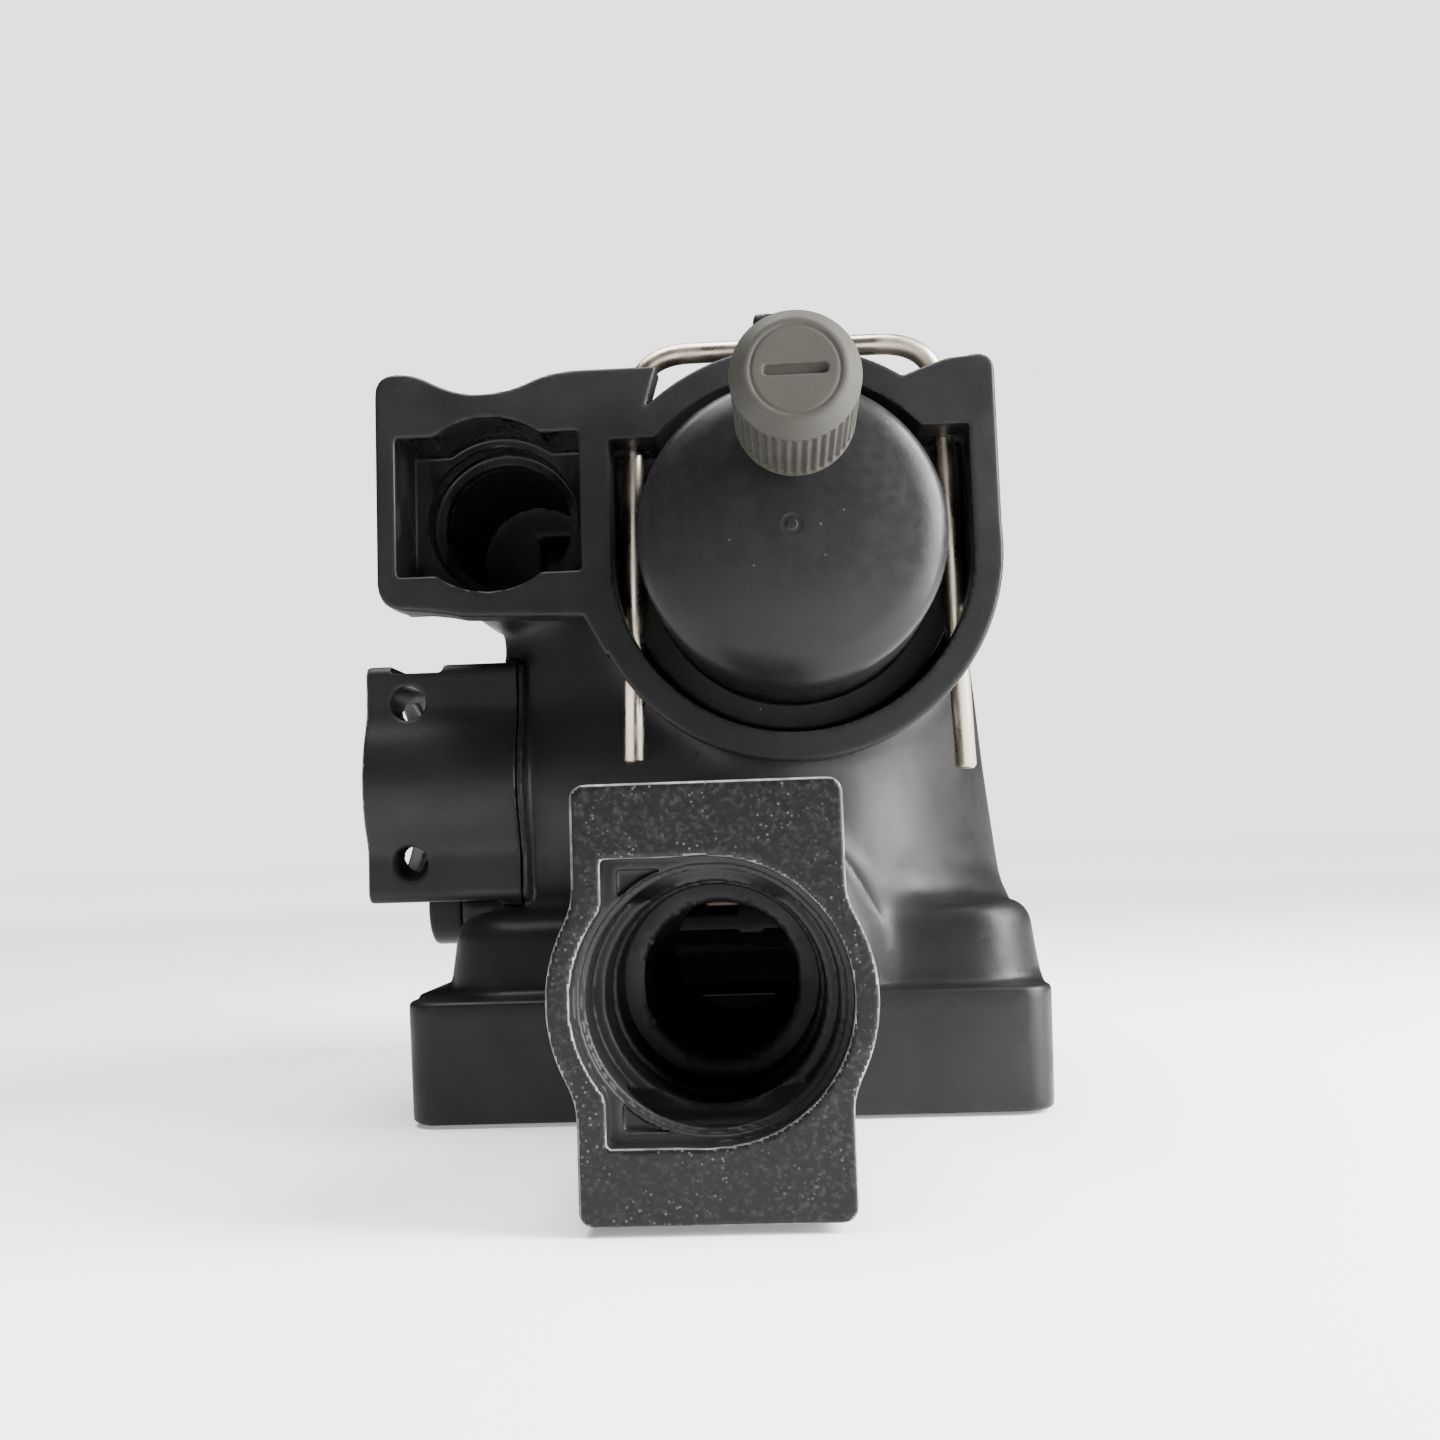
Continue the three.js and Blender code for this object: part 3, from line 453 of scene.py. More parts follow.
def body_field(x, y, z):
    """The whole moulded body."""
    field = tower_field(x, y, z)
    for part, fillet in JOINED:
        field = join(field, part(x, y, z), fillet)
    field = cut(field, hollow_field(x, y, z), 0.3)
    field = cut(field, clip_slots_field(x, y, z))
    field = cut(field, pin_holes_field(x, y, z))
    field = join(field, inner_parts_field(x, y, z))
    return cut(field, small_hollows_field(x, y, z))


# ---- fields to meshes


SHARP_ANGLE = math.radians(48)


def placed(vertices):
    """Corner places in metres, in the frame of the CAD model."""
    return (vertices + np.array(ORIGIN)) * MM


def grid_axes(box, voxel):
    """Grid places along X, Y and Z that reach past a box, shaped so that fields broadcast."""
    axes = []
    for (low, high), shape in zip(box, ((-1, 1, 1), (1, -1, 1), (1, 1, -1))):
        count = int(math.ceil((high - low) / voxel)) + 5
        places = low - 2 * voxel + voxel * np.arange(count, dtype=np.float32)
        axes.append(places.reshape(shape))
    return axes


def box_field(places, box):
    """Distance outside a box, given as three (low, high) pairs."""
    spans = (span(along, low, high) for along, (low, high) in zip(places, box))
    return functools.reduce(np.maximum, spans)


def mesh_of_field(name, field, box, voxel, adaptivity=0.0, without=()):
    """A closed mesh of a field inside a box, less the boxes that other pieces fill."""
    places = grid_axes(box, voxel)
    shape = np.broadcast_shapes(*(along.shape for along in places))
    values = np.broadcast_to(field(*places), shape)
    values = np.maximum(values, box_field(places, box))
    for taken in without:
        values = np.maximum(values, -box_field(places, taken))
    band = 3 * voxel
    grid = openvdb.FloatGrid(band)
    grid.copyFromArray(np.ascontiguousarray(np.clip(values, -band, band), dtype=np.float32))
    points, triangles, quads = grid.convertToPolygons(isovalue=0.0, adaptivity=adaptivity)
    start = np.array([along.flat[0] for along in places])
    return object_of(name, placed(points * voxel + start), [triangles, quads])


def object_of(name, vertices, face_groups):
    """A shaded object from corner places and arrays of faces, one array for each face size."""
    mesh = bpy.data.meshes.new(name)
    mesh.vertices.add(len(vertices))
    mesh.vertices.foreach_set("co", np.ascontiguousarray(vertices, dtype=np.float32).ravel())
    corners = np.concatenate([faces.ravel() for faces in face_groups]).astype(np.int32)
    sizes = np.concatenate([np.full(len(faces), faces.shape[1]) for faces in face_groups])
    starts = np.concatenate([[0], np.cumsum(sizes)[:-1]]).astype(np.int32)
    mesh.loops.add(len(corners))
    mesh.loops.foreach_set("vertex_index", corners)
    mesh.polygons.add(len(sizes))
    mesh.polygons.foreach_set("loop_start", starts)
    mesh.update(calc_edges=True)
    mesh.validate()
    mesh.shade_smooth()
    mesh.set_sharp_from_angle(angle=SHARP_ANGLE)
    piece = bpy.data.objects.new(name, mesh)
    bpy.context.scene.collection.objects.link(piece)
    return piece


# ---- turned and swept pieces


def rounded(points, closed):
    """Profile points (radius, along, corner) with every corner of its own radius rounded off."""
    result = []
    count = len(points)
    for i, (radius, along, corner) in enumerate(points):
        here = np.array((radius, along), dtype=float)
        is_end = not closed and i in (0, count - 1)
        if is_end or corner == 0:
            result.append((radius, along))
            continue
        before = np.array(points[i - 1][:2], dtype=float) - here
        after = np.array(points[(i + 1) % count][:2], dtype=float) - here
        reach = min(corner, 0.49 * np.linalg.norm(before), 0.49 * np.linalg.norm(after))
        start = here + before / np.linalg.norm(before) * reach
        end = here + after / np.linalg.norm(after) * reach
        result.append(tuple(start))
        result += curve(tuple(start), tuple(here), tuple(end), 5)
    return result


def spun(name, axis, centre, points, segments=64):
    """A profile turned about an axis through a centre; it is closed unless it meets the axis."""
    closed = points[0][0] > 0
    profile = np.array(rounded(points, closed))
    angles = np.arange(segments) * 2 * math.pi / segments
    radii, along = profile[:, 0:1], profile[:, 1:2]
    a = radii * np.cos(angles)
    b = radii * np.sin(angles)
    along = np.broadcast_to(along, a.shape)
    order = {"X": (along, a, b), "Y": (b, along, a), "Z": (a, b, along)}[axis]
    vertices = np.stack(order, axis=-1).reshape(-1, 3) + np.array(centre)
    rows = np.arange(len(profile))
    nexts = np.roll(rows, -1) if closed else rows + 1
    faces = []
    for row, following in zip(rows, nexts):
        if following >= len(profile):
            continue
        near = row * segments + np.arange(segments)
        far = following * segments + np.arange(segments)
        faces.append(np.stack([near, np.roll(near, -1), np.roll(far, -1), far], axis=1))
    return cleaned(object_of(name, placed(vertices), [np.concatenate(faces)]))


def cleaned(piece):
    """Merges doubled corners, drops the faces they flatten, and turns every face outwards."""
    mesh = bmesh.new()
    mesh.from_mesh(piece.data)
    bmesh.ops.remove_doubles(mesh, verts=mesh.verts, dist=1e-6)
    bmesh.ops.dissolve_degenerate(mesh, edges=mesh.edges, dist=1e-7)
    bmesh.ops.recalc_face_normals(mesh, faces=mesh.faces)
    mesh.to_mesh(piece.data)
    mesh.free()
    piece.data.shade_smooth()
    piece.data.set_sharp_from_angle(angle=SHARP_ANGLE)
    return piece


def swept(name, path, radius, sides=20, chamfer=0.5):
    """A round wire along a path, with chamfered ends, its section carried without twist."""
    path = [np.array(place, dtype=float) for place in path]
    steps = [b - a for a, b in zip(path, path[1:])]
    first = steps[0] / np.linalg.norm(steps[0])
    last = steps[-1] / np.linalg.norm(steps[-1])
    path.insert(1, path[0] + first * chamfer)
    path.insert(-1, path[-1] - last * chamfer)
    radii = [radius - chamfer] + [radius] * (len(path) - 2) + [radius - chamfer]
    angles = np.arange(sides) * 2 * math.pi / sides
    side = np.cross(first, (0.3, 0.9, 0.2))
    vertices = []
    for i, place in enumerate(path):
        ahead = path[min(i + 1, len(path) - 1)] - path[max(i - 1, 0)]
        ahead = ahead / np.linalg.norm(ahead)
        side = side - ahead * side.dot(ahead)
        side = side / np.linalg.norm(side)
        up = np.cross(ahead, side)
        ring = np.outer(np.cos(angles), side) + np.outer(np.sin(angles), up)
        vertices.append(place + ring * radii[i])
    vertices += [path[0][None], path[-1][None]]
    vertices = np.concatenate(vertices)
    turn = np.arange(sides)
    quads = []
    for i in range(len(path) - 1):
        near = i * sides + turn
        far = near + sides
        quads.append(np.stack([near, np.roll(near, -1), np.roll(far, -1), far], axis=1))
    ends = []
    for start, hub in ((0, len(path) * sides), ((len(path) - 1) * sides, len(path) * sides + 1)):
        rim = start + turn
        ends.append(np.stack([rim, np.roll(rim, -1), np.full(sides, hub)], axis=1))
    faces = [np.concatenate(ends), np.concatenate(quads)]
    return cleaned(object_of(name, placed(vertices), faces))


# ---- procedural materials


# A mix node's two inputs and its output, by the kind of value it mixes.
MIX_SOCKETS = {"RGBA": (6, 7, 2), "FLOAT": (2, 3, 0)}


class Look:
    """One procedural material: a Principled shader with patterns in the object's own space."""

    def __init__(self, name, colour, roughness, metallic=0.0):
        self.material = bpy.data.materials.new(name)
        self.material.use_nodes = True
        self.tree = self.material.node_tree
        self.shader = self.tree.nodes["Principled BSDF"]
        self.shader.inputs["Metallic"].default_value = metallic
        self.shader.inputs["Specular IOR Level"].default_value = 0.5 if metallic else 0.19
        self.place = self.node("ShaderNodeTexCoord").outputs["Object"]
        self.colour = colour
        self.shade = (*colour, 1)
        self.rough = roughness
        self.heights = []

    def node(self, kind, **settings):
        made = self.tree.nodes.new(kind)
        for key, value in settings.items():
            setattr(made, key, value)
        return made

    def feed(self, source, target):
        """Gives an input a plain value, or links it to the output of another node."""
        if isinstance(source, bpy.types.NodeSocket):
            self.tree.links.new(source, target)
        else:
            target.default_value = source

    def stretched(self, stretch):
        """The object's space, squeezed by different amounts along its axes."""
        mapping = self.node("ShaderNodeMapping")
        self.feed(stretch, mapping.inputs["Scale"])
        self.feed(self.place, mapping.inputs["Vector"])
        return mapping.outputs["Vector"]

    def noise(self, scale, detail=3.0, stretch=None):
        made = self.node("ShaderNodeTexNoise")
        self.feed(scale, made.inputs["Scale"])
        self.feed(detail, made.inputs["Detail"])
        self.feed(self.stretched(stretch) if stretch else self.place, made.inputs["Vector"])
        return made.outputs["Fac"]

    def cells(self, scale):
        made = self.node("ShaderNodeTexVoronoi")
        self.feed(scale, made.inputs["Scale"])
        self.feed(self.place, made.inputs["Vector"])
        return made.outputs["Distance"]

    def ramp(self, value, low, high, to_low=0.0, to_high=1.0):
        """The value carried from one range to another and held inside it."""
        made = self.node("ShaderNodeMapRange")
        self.feed(low, made.inputs["From Min"])
        self.feed(high, made.inputs["From Max"])
        self.feed(to_low, made.inputs["To Min"])
        self.feed(to_high, made.inputs["To Max"])
        self.feed(value, made.inputs["Value"])
        return made.outputs["Result"]

    def patches(self, scale, detail, low, high, stretch=None, most=1.0):
        """Soft-edged patches: none where the noise is below low, most where it is above high."""
        return self.ramp(self.noise(scale, detail, stretch), low, high, 0.0, most)

    def times(self, a, b):
        made = self.node("ShaderNodeMath", operation="MULTIPLY")
        self.feed(a, made.inputs[0])
        self.feed(b, made.inputs[1])
        return made.outputs[0]

    def mixed(self, kind, factor, before, after):
        """One value carried towards another where the factor is high."""
        made = self.node("ShaderNodeMix", data_type=kind)
        first, second, result = MIX_SOCKETS[kind]
        self.feed(factor, made.inputs["Factor"])
        self.feed(before, made.inputs[first])
        self.feed(after, made.inputs[second])
        return made.outputs[result]

    def tint(self, factor, colour):
        """Mixes in a colour, or a share of the look's own, where the factor is high."""
        if not isinstance(colour, tuple):
            colour = [min(1.0, channel * colour) for channel in self.colour]
        self.shade = self.mixed("RGBA", factor, self.shade, (*colour, 1))

    def roughen(self, factor, roughness):
        self.rough = self.mixed("FLOAT", factor, self.rough, roughness)

    def height(self, value, depth, strength=1.0):
        """Adds relief: depth is in metres."""
        self.heights.append((value, depth, strength))

    def done(self):
        self.feed(self.shade, self.shader.inputs["Base Color"])
        self.feed(self.rough, self.shader.inputs["Roughness"])
        normal = None
        for value, depth, strength in self.heights:
            bump = self.node("ShaderNodeBump")
            self.feed(strength, bump.inputs["Strength"])
            self.feed(depth, bump.inputs["Distance"])
            self.feed(value, bump.inputs["Height"])
            if normal:
                self.feed(normal, bump.inputs["Normal"])
            normal = bump.outputs["Normal"]
        if normal:
            self.feed(normal, self.shader.inputs["Normal"])
        return self.material


def moulded_look(name, colour, roughness, specks=0.0):
    """Injection-moulded polyamide: fine spark-eroded grain, clouding, flow marks and specks."""
    look = Look(name, colour, roughness)
    look.tint(look.patches(70, 4, 0.35, 0.7), 1.35)
    look.tint(look.patches(38, 5, 0.55, 0.75, (1, 1, 0.25)), 0.75)
    scattered = look.times(look.ramp(look.cells(900), 0.16, 0.1), look.patches(230, 2, 0.5, 0.66))
    look.tint(look.ramp(scattered, 0, 1, 0, 0.35 + specks), 4.5)
    look.roughen(look.patches(110, 5, 0.4, 0.65), roughness + 0.13)
    look.roughen(look.patches(26, 4, 0.58, 0.7, (1, 1, 3), 0.7), roughness - 0.09)
    look.height(look.noise(2600, 2), 0.00002, 0.5)
    look.height(look.noise(650, 3), 0.00004, 0.35)
    return look.done()


def coarse_face_look(name, colour, roughness):
    """A mould's coarser textured face, with glass fibre glinting in it."""
    look = Look(name, colour, roughness)
    look.tint(look.patches(1700, 4, 0.5, 0.7), 4.0)
    look.tint(look.patches(45, 3, 0.5, 0.75, (1, 1, 0.6), 0.5), 0.6)
    fibres = look.times(look.ramp(look.cells(1500), 0.26, 0.1), look.patches(260, 2, 0.46, 0.6))
    look.tint(look.ramp(fibres, 0, 1, 0, 0.7), 22)
    look.roughen(look.patches(900, 3, 0.4, 0.7), roughness + 0.15)
    look.height(look.noise(1700, 3), 0.00008, 0.6)
    return look.done()


def rim_highlight_look(name, colour):
    """A rim's painted highlight: a paler colour along the eased edge, paler still in some patches and
    darker in others.
    """
    look = Look(name, colour, 0.34)
    look.tint(look.patches(500, 4, 0.42, 0.62), 2.4)
    look.tint(look.patches(90, 3, 0.5, 0.7, None, 0.8), 0.5)
    look.height(look.noise(1400, 3), 0.00005, 0.5)
    return look.done()


def wet_look(name, colour):
    """The inside of a passage, still wet in places."""
    look = Look(name, colour, 0.45)
    wet = look.patches(120, 3, 0.44, 0.56, (1, 1, 0.5))
    look.roughen(wet, 0.08)
    look.tint(wet, 0.6)
    look.height(look.noise(300, 2, (1, 1, 0.6)), 0.0001, 0.4)
    look.height(look.noise(2400, 2), 0.00002, 0.4)
    return look.done()


def vent_look(name, colour):
    """The vent's satin dome: clouding, scuffs and dust specks."""
    look = Look(name, colour, 0.31)
    look.tint(look.patches(55, 5, 0.4, 0.7), 1.3)
    scuffs = look.times(
        look.patches(210, 4, 0.6, 0.7, (1, 1, 0.12)), look.patches(40, 2, 0.45, 0.6),
    )
    look.tint(scuffs, 1.9)
    look.roughen(scuffs, 0.6)
    dust = look.times(look.ramp(look.cells(420), 0.07, 0.04), look.patches(90, 2, 0.56, 0.64))
    look.tint(dust, (0.11, 0.11, 0.11))
    look.roughen(look.patches(500, 4, 0.4, 0.65), 0.4)
    look.height(look.noise(1900, 3), 0.00003, 0.5)
    look.height(look.noise(90, 3), 0.0002, 0.12)
    return look.done()


def cap_look(name, colour):
    """The grey cap: dull, with faint streaks along its ribs."""
    look = Look(name, colour, 0.58)
    look.tint(look.patches(160, 4, 0.4, 0.7), 1.25)
    look.tint(look.patches(90, 4, 0.55, 0.75, (1, 0.3, 1)), 0.78)
    look.roughen(look.patches(300, 4, 0.45, 0.65), 0.7)
    look.height(look.noise(2400, 3), 0.00004, 0.6)
    return look.done()


def drawn_steel_look(name, colour, stretch, roughness=0.27):
    """Drawn stainless: die lines along the wire, with handling marks."""
    look = Look(name, colour, roughness, 1.0)
    lines = look.noise(700, 3, stretch)
    look.tint(look.ramp(lines, 0.35, 0.7), 0.82)
    look.tint(look.patches(120, 4, 0.5, 0.7), 1.2)
    look.roughen(look.patches(160, 4, 0.45, 0.65), roughness + 0.2)
    look.height(lines, 0.00003, 0.4)
    return look.done()


def turned_brass_look(name, colour, stretch):
    """Turned brass: fine tool rings, a little tarnish."""
    look = Look(name, colour, 0.25, 1.0)
    rings = look.noise(1500, 2, stretch)
    look.tint(look.patches(220, 4, 0.45, 0.7), 0.6)
    look.roughen(look.ramp(rings, 0.35, 0.65), 0.42)
    look.height(rings, 0.00002, 0.5)
    return look.done()


def rubber_look(name):
    """Dull black rubber with a greyer bloom."""
    look = Look(name, (0.018, 0.018, 0.019), 0.62)
    look.tint(look.patches(260, 4, 0.45, 0.7), (0.035, 0.035, 0.036))
    look.roughen(look.patches(420, 3, 0.4, 0.65), 0.8)
    look.height(look.noise(1600, 3), 0.00005, 0.5)
    return look.done()


def plain_plastic_look(name, colour, roughness, grain):
    """An even plastic whose grain is so many metres deep."""
    look = Look(name, colour, roughness)
    look.tint(look.patches(60, 4, 0.4, 0.7), 0.86)
    look.roughen(look.patches(340, 4, 0.4, 0.65), roughness + 0.15)
    look.height(look.noise(1500, 3), grain, 0.5)
    return look.done()


BLACK = (0.0075, 0.0075, 0.0077)
VENT_BLACK = (0.0085, 0.0085, 0.0088)
STEEL = (0.46, 0.4, 0.33)
BRASS = (0.72, 0.55, 0.27)

black_nylon = moulded_look("black_nylon_satin", BLACK, 0.4)
black_face = coarse_face_look("black_nylon_face", (0.0045, 0.0045, 0.0046), 0.38)
# The socket mouths' rims: a paler colour that paints a highlight along them.
black_rim_highlight = rim_highlight_look("black_nylon_rim_painted_highlight", (0.075, 0.075, 0.076))
black_wet = wet_look("black_nylon_wet", (0.009, 0.009, 0.0092))
black_inside = moulded_look("black_nylon_inside", (0.008, 0.008, 0.0082), 0.4, 0.2)
vent_nylon = vent_look("vent_nylon", VENT_BLACK)
grey_nylon = cap_look("grey_nylon", (0.034, 0.0322, 0.0268))
clip_steel = drawn_steel_look("clip_steel", STEEL, (3, 3, 0.06))
stem_steel = drawn_steel_look("stem_steel", STEEL, (0.06, 3, 3))
sheet_steel = drawn_steel_look("sheet_steel", STEEL, (2, 2, 0.2), 0.34)
turned_brass = turned_brass_look("turned_brass", BRASS, (0.1, 4, 0.1))
stem_brass = turned_brass_look("stem_brass", BRASS, (4, 0.1, 0.1))
insert_brass = turned_brass_look("insert_brass", BRASS, (0.1, 0.1, 4))
rubber = rubber_look("rubber")
grey_acetal = plain_plastic_look("grey_acetal", (0.04, 0.04, 0.039), 0.36, 0.00002)
float_plastic = plain_plastic_look("float_plastic", (0.6, 0.58, 0.53), 0.55, 0.0001)


def finish_piece(piece, node, body, slot, *materials):
    """Gives a piece its materials and the body it moves with, and hides the CAD node it stands in for.
    """
    for material in materials:
        piece.data.materials.append(material)
    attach(piece, body)
    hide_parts(node)
    return piece


def turned(name, axis, centre, points, segments, *finish):
    """A spun piece and its finish: the node, body, slot and material of finish_piece."""
    finish_piece(spun(name, axis, centre, points, segments), *finish)


def meshed(name, field, box, voxel, adaptivity, *finish):
    """A piece meshed from a field, and its finish."""
    finish_piece(mesh_of_field(name, field, box, voxel, adaptivity), *finish)


def ring_section(radius, along, half, count):
    """The round section of a sealing ring, as profile points."""
    angles = np.arange(count) * math.pi / (count / 2)
    return [(radius + half * math.cos(t), along + half * math.sin(t), 0) for t in angles]


# ---- body pieces


# Boxes that part the body, each as x, y and z pairs; they share their cut planes.
PLATE_BOX = ((-50.0, 43.0), (PLATE_Y - 1, -45.8), (48.0, 112.0))
UPPER_BOX = ((-49.0, -15.6), (-45.8, -38.0), (70.4, 108.4))
SIDE_BOX = ((SOCKET_D_FACE - 1, SOCKET_D_FACE + 23.0), (-44.0, -6.0), (30.6, 68.0))
SOCKET_BOX = ((-17.5, 20.0), (SOCKET_C_FACE - 1, SOCKET_C_FACE + 21.9), (0.0, 46.5))
REST_BOX = ((-54.0, BASE_HALF), (SOCKET_C_FACE + 21.9, 47.5), (0.0, 117.5))

# Name, box, grid step, adaptivity and the boxes left out; the near stretches have finer grids.
STRETCHES = (
    ("body_tower", REST_BOX, 0.55, 0.02, (PLATE_BOX, SIDE_BOX, UPPER_BOX)),
    ("body_vent_plate", PLATE_BOX, 0.36, 0.0, ()),
    ("body_upper_socket", UPPER_BOX, 0.27, 0.0, ()),
    ("body_side_socket", SIDE_BOX, 0.36, 0.0, ()),
    ("body_large_socket", SOCKET_BOX, 0.3, 0.0, ()),
)
BODY_LOOKS = (black_nylon, black_face, black_wet, black_inside, black_rim_highlight)
FACE, WET, INSIDE, RIM_HIGHLIGHT = range(1, 5)  # places in BODY_LOOKS; the skin's is 0


def inside_passages(x, y, z, facing):
    """Which faces lie in the large and side sockets, the pump bore or the tower."""
    from_c = np.hypot(x - SOCKET_C[0], z - SOCKET_C[1])
    from_d = np.hypot(y - SOCKET_D[0], z - SOCKET_D[1])
    inside = (from_c < 16.6) & (y > SOCKET_C_FACE + 1) & (y < 0)
    inside &= (from_c < 14.0) | (facing[:, 1] < -0.5)
    inside |= (from_d < 14.0) & (x > SOCKET_D_FACE + 2) & (x < -28)
    inside |= (np.hypot(x, y) < BASE_BORE + 0.5) & (z < BASE_HEIGHT)
    inside |= np.hypot(x - TOWER[0], y - TOWER[1]) < 32.8
    return inside & (z < 74)


def paint_body(piece):
    """Gives each face of a body piece its finish: skin, socket face, wet recess, rim with a painted
    highlight, or passage.
    """
    mesh = piece.data
    count = len(mesh.polygons)
    centres = np.empty(count * 3, dtype=np.float32)
    normals = np.empty(count * 3, dtype=np.float32)
    mesh.polygons.foreach_get("center", centres)
    mesh.polygons.foreach_get("normal", normals)
    x, y, z = (centres.reshape(-1, 3) / MM - np.array(ORIGIN)).T
    facing = normals.reshape(-1, 3)
    finish = np.zeros(count, dtype=np.int32)
    mouths = ((y, SOCKET_C_FACE, facing[:, 1]), (x, SOCKET_D_FACE, facing[:, 0]))
    for along, mouth, outward in mouths:
        finish[(along < mouth + 0.3) & (outward < -0.9)] = FACE
    ax, az = SOCKET_A
    recess = (y > PLATE_Y + 0.4) & (y < PLATE_Y + 20) & (x < ax + 13.3) & (x > ax - 13.3)
    finish[recess & (np.abs(z - az) < 12.7)] = WET
    # The eased rims of the socket mouths take a paler colour: a painted highlight.
    for along, mouth, outward in mouths:
        finish[(along < mouth + 0.75) & (outward < -0.25) & (outward > -0.9)] = RIM_HIGHLIGHT
    finish[inside_passages(x, y, z, facing)] = INSIDE
    mesh.polygons.foreach_set("material_index", finish)


def body_pieces():
    for name, box, voxel, adaptivity, without in STRETCHES:
        piece = mesh_of_field(name, body_field, box, voxel, adaptivity, without)
        finish_piece(piece, "valve_body", "valve", "black_nylon", *BODY_LOOKS)
        paint_body(piece)


# ---- flange pieces


def flange_seal():
    """The flange's ring, with moulding flash round its outside and its inside."""
    half, count = 1.15, 20
    points = []
    for i in range(count):
        angle = 2 * math.pi * i / count
        flash = 0.06 if i in (0, count // 2) else 0.0
        across = FLANGE_SEAL_RADIUS + (half + flash) * math.cos(angle)
        points.append((across, 1.35 + half * math.sin(angle), 0))
    turned("flange_seal_ring", "Z", (0, 0, 0), points, 128,
           "flange_seal", "valve", "rubber", rubber)


def flange_inserts():
    """The brass inserts for the flange's screws: a waisted outside and a threaded bore."""
    thread = [(1.95 + 0.25 * (i % 2), 9.2 - 0.45 * i, 0) for i in range(19)]
    outer = [
        (3.3, 0.35, 0.25), (3.3, 3.6, 0.1), (2.9, 3.9, 0.1), (2.9, 5.2, 0.1), (3.35, 5.5, 0.1),
        (3.35, 9.45, 0.3), (2.2, 9.45, 0.1),
    ]
    for index in range(1, 5):
        node = f"flange_insert_{index}"
        x, y, _ = middle_of(node)
        turned(f"threaded_insert_{index}", "Z", (x, y, 0), outer + thread, 48,
               node, "valve", "brass", insert_brass)


# ---- wire clip


LEFT_FOOT_HIGHER = 2.4
LEG_SPREAD = 1.3


def clip_piece():
    """A U of round wire, its legs spreading a little towards their chamfered feet."""
    low, high = box_mm("wire_clip")
    low, high = low - np.array(ORIGIN), high - np.array(ORIGIN)
    wire = (high[1] - low[1]) / 2 - 0.01
    middle = (low[0] + high[0]) / 2
    foot_half = (high[0] - low[0]) / 2 - wire
    top_half = foot_half - LEG_SPREAD
    top = high[2] - wire
    corner = 8.5
    foot = low[2] + 0.3
    half = [(top_half, top - corner)]
    half += curve(half[-1], (top_half, top), (top_half - corner, top), 14)
    right = [(foot_half, foot)] + half
    left = [(foot_half, foot + LEFT_FOOT_HIGHER)] + half
    path = [(middle + x, CLIP_Y, z) for x, z in right]
    path += [(middle - x, CLIP_Y, z) for x, z in reversed(left)]
    legs = swept("retaining_clip", path, wire, 28, 0.45)
    finish_piece(legs, "wire_clip", "clip", "steel", clip_steel)


# ---- automatic air vent


def vent_turned(name, centre, points, *rest):
    """A piece turned about an axis along Y, its profile measured outwards, towards -Y."""
    turned(name, "Y", centre, [(radius, -along, corner) for radius, along, corner in points], *rest)


def vent_shell():
    """The insert: skirt, seal groove, flange, and a domed end with its gate mark."""
    inside = [(0.0, 70.4, 0), (9.0, 70.0, 3.0), (15.0, 68.4, 3.0), (17.9, 65.4, 2.0)]
    outside = [
        (18.0, 33.0, 0.2), (21.55, 33.0, 0.5), (21.55, 35.2, 0.15), (19.7, 35.2, 0.15),
        (19.7, 38.0, 0.15), (21.55, 38.0, 0.15), (21.55, 40.85, 0.3), (24.25, 40.85, 0.5),
        (24.25, 45.75, 0.6), (20.4, 45.75, 0.5), (20.35, 68.7, 1.9), (17.6, 70.3, 4.0),
        (10.0, 71.9, 4.0), (1.5, 72.45, 0.3), (1.2, 72.38, 0.1), (0.8, 72.38, 0.1),
        (0.6, 72.48, 0.1), (0.0, 72.44, 0),
    ]
    vent_turned("vent_shell", VENT_AXIS, inside + outside, 128,
                "vent_housing", "valve", "vent_nylon", vent_nylon)


def vent_outlet():
    """The boss and threaded nipple that stand on the dome under the cap."""
    thread = [(3.35 + 0.25 * (i % 2), 81.0 + 0.66 * i, 0.08) for i in range(18)]
    points = [(2.6, 69.2, 0.1), (5.4, 69.2, 0.1), (5.35, 79.0, 0.5), (3.5, 79.0, 0.3)]
    points += thread + [(3.4, 93.2, 0.3), (2.9, 93.6, 0.2), (2.55, 93.6, 0.2)]
    vent_turned("vent_outlet", CAP_AXIS, points, 64,
                "vent_housing", "valve", "vent_nylon", vent_nylon)


def lever_cheeks_field(x, y, z):
    """Two ears under the dome's roof that carry the lever's pin."""
    flat = rectangle(y, z, (-67.8, LEVER_PIN_Z - 2), (-59.5, LEVER_PIN_Z + 2), 1.2)
    cheeks = []
    for side in (-1, 1):
        near, far = sorted((CAP_X + side * 3.35, CAP_X + side * 4.85))
        cheeks.append(rounded_pair(flat, span(x, near, far), 0.3))
    hole = rod(y, z, x, (LEVER_PIN_Y, LEVER_PIN_Z), 1.08, CAP_X - 9, CAP_X + 9)
    return cut(nearest_of(*cheeks), hole, 0.15)


def lever_cheeks():
    box = ((CAP_X - 6, CAP_X + 6), (-69, -58), (LEVER_PIN_Z - 3, LEVER_PIN_Z + 3))
    meshed("lever_cheeks", lever_cheeks_field, box, 0.16, 0.0,
           "vent_housing", "valve", "vent_nylon", vent_nylon)


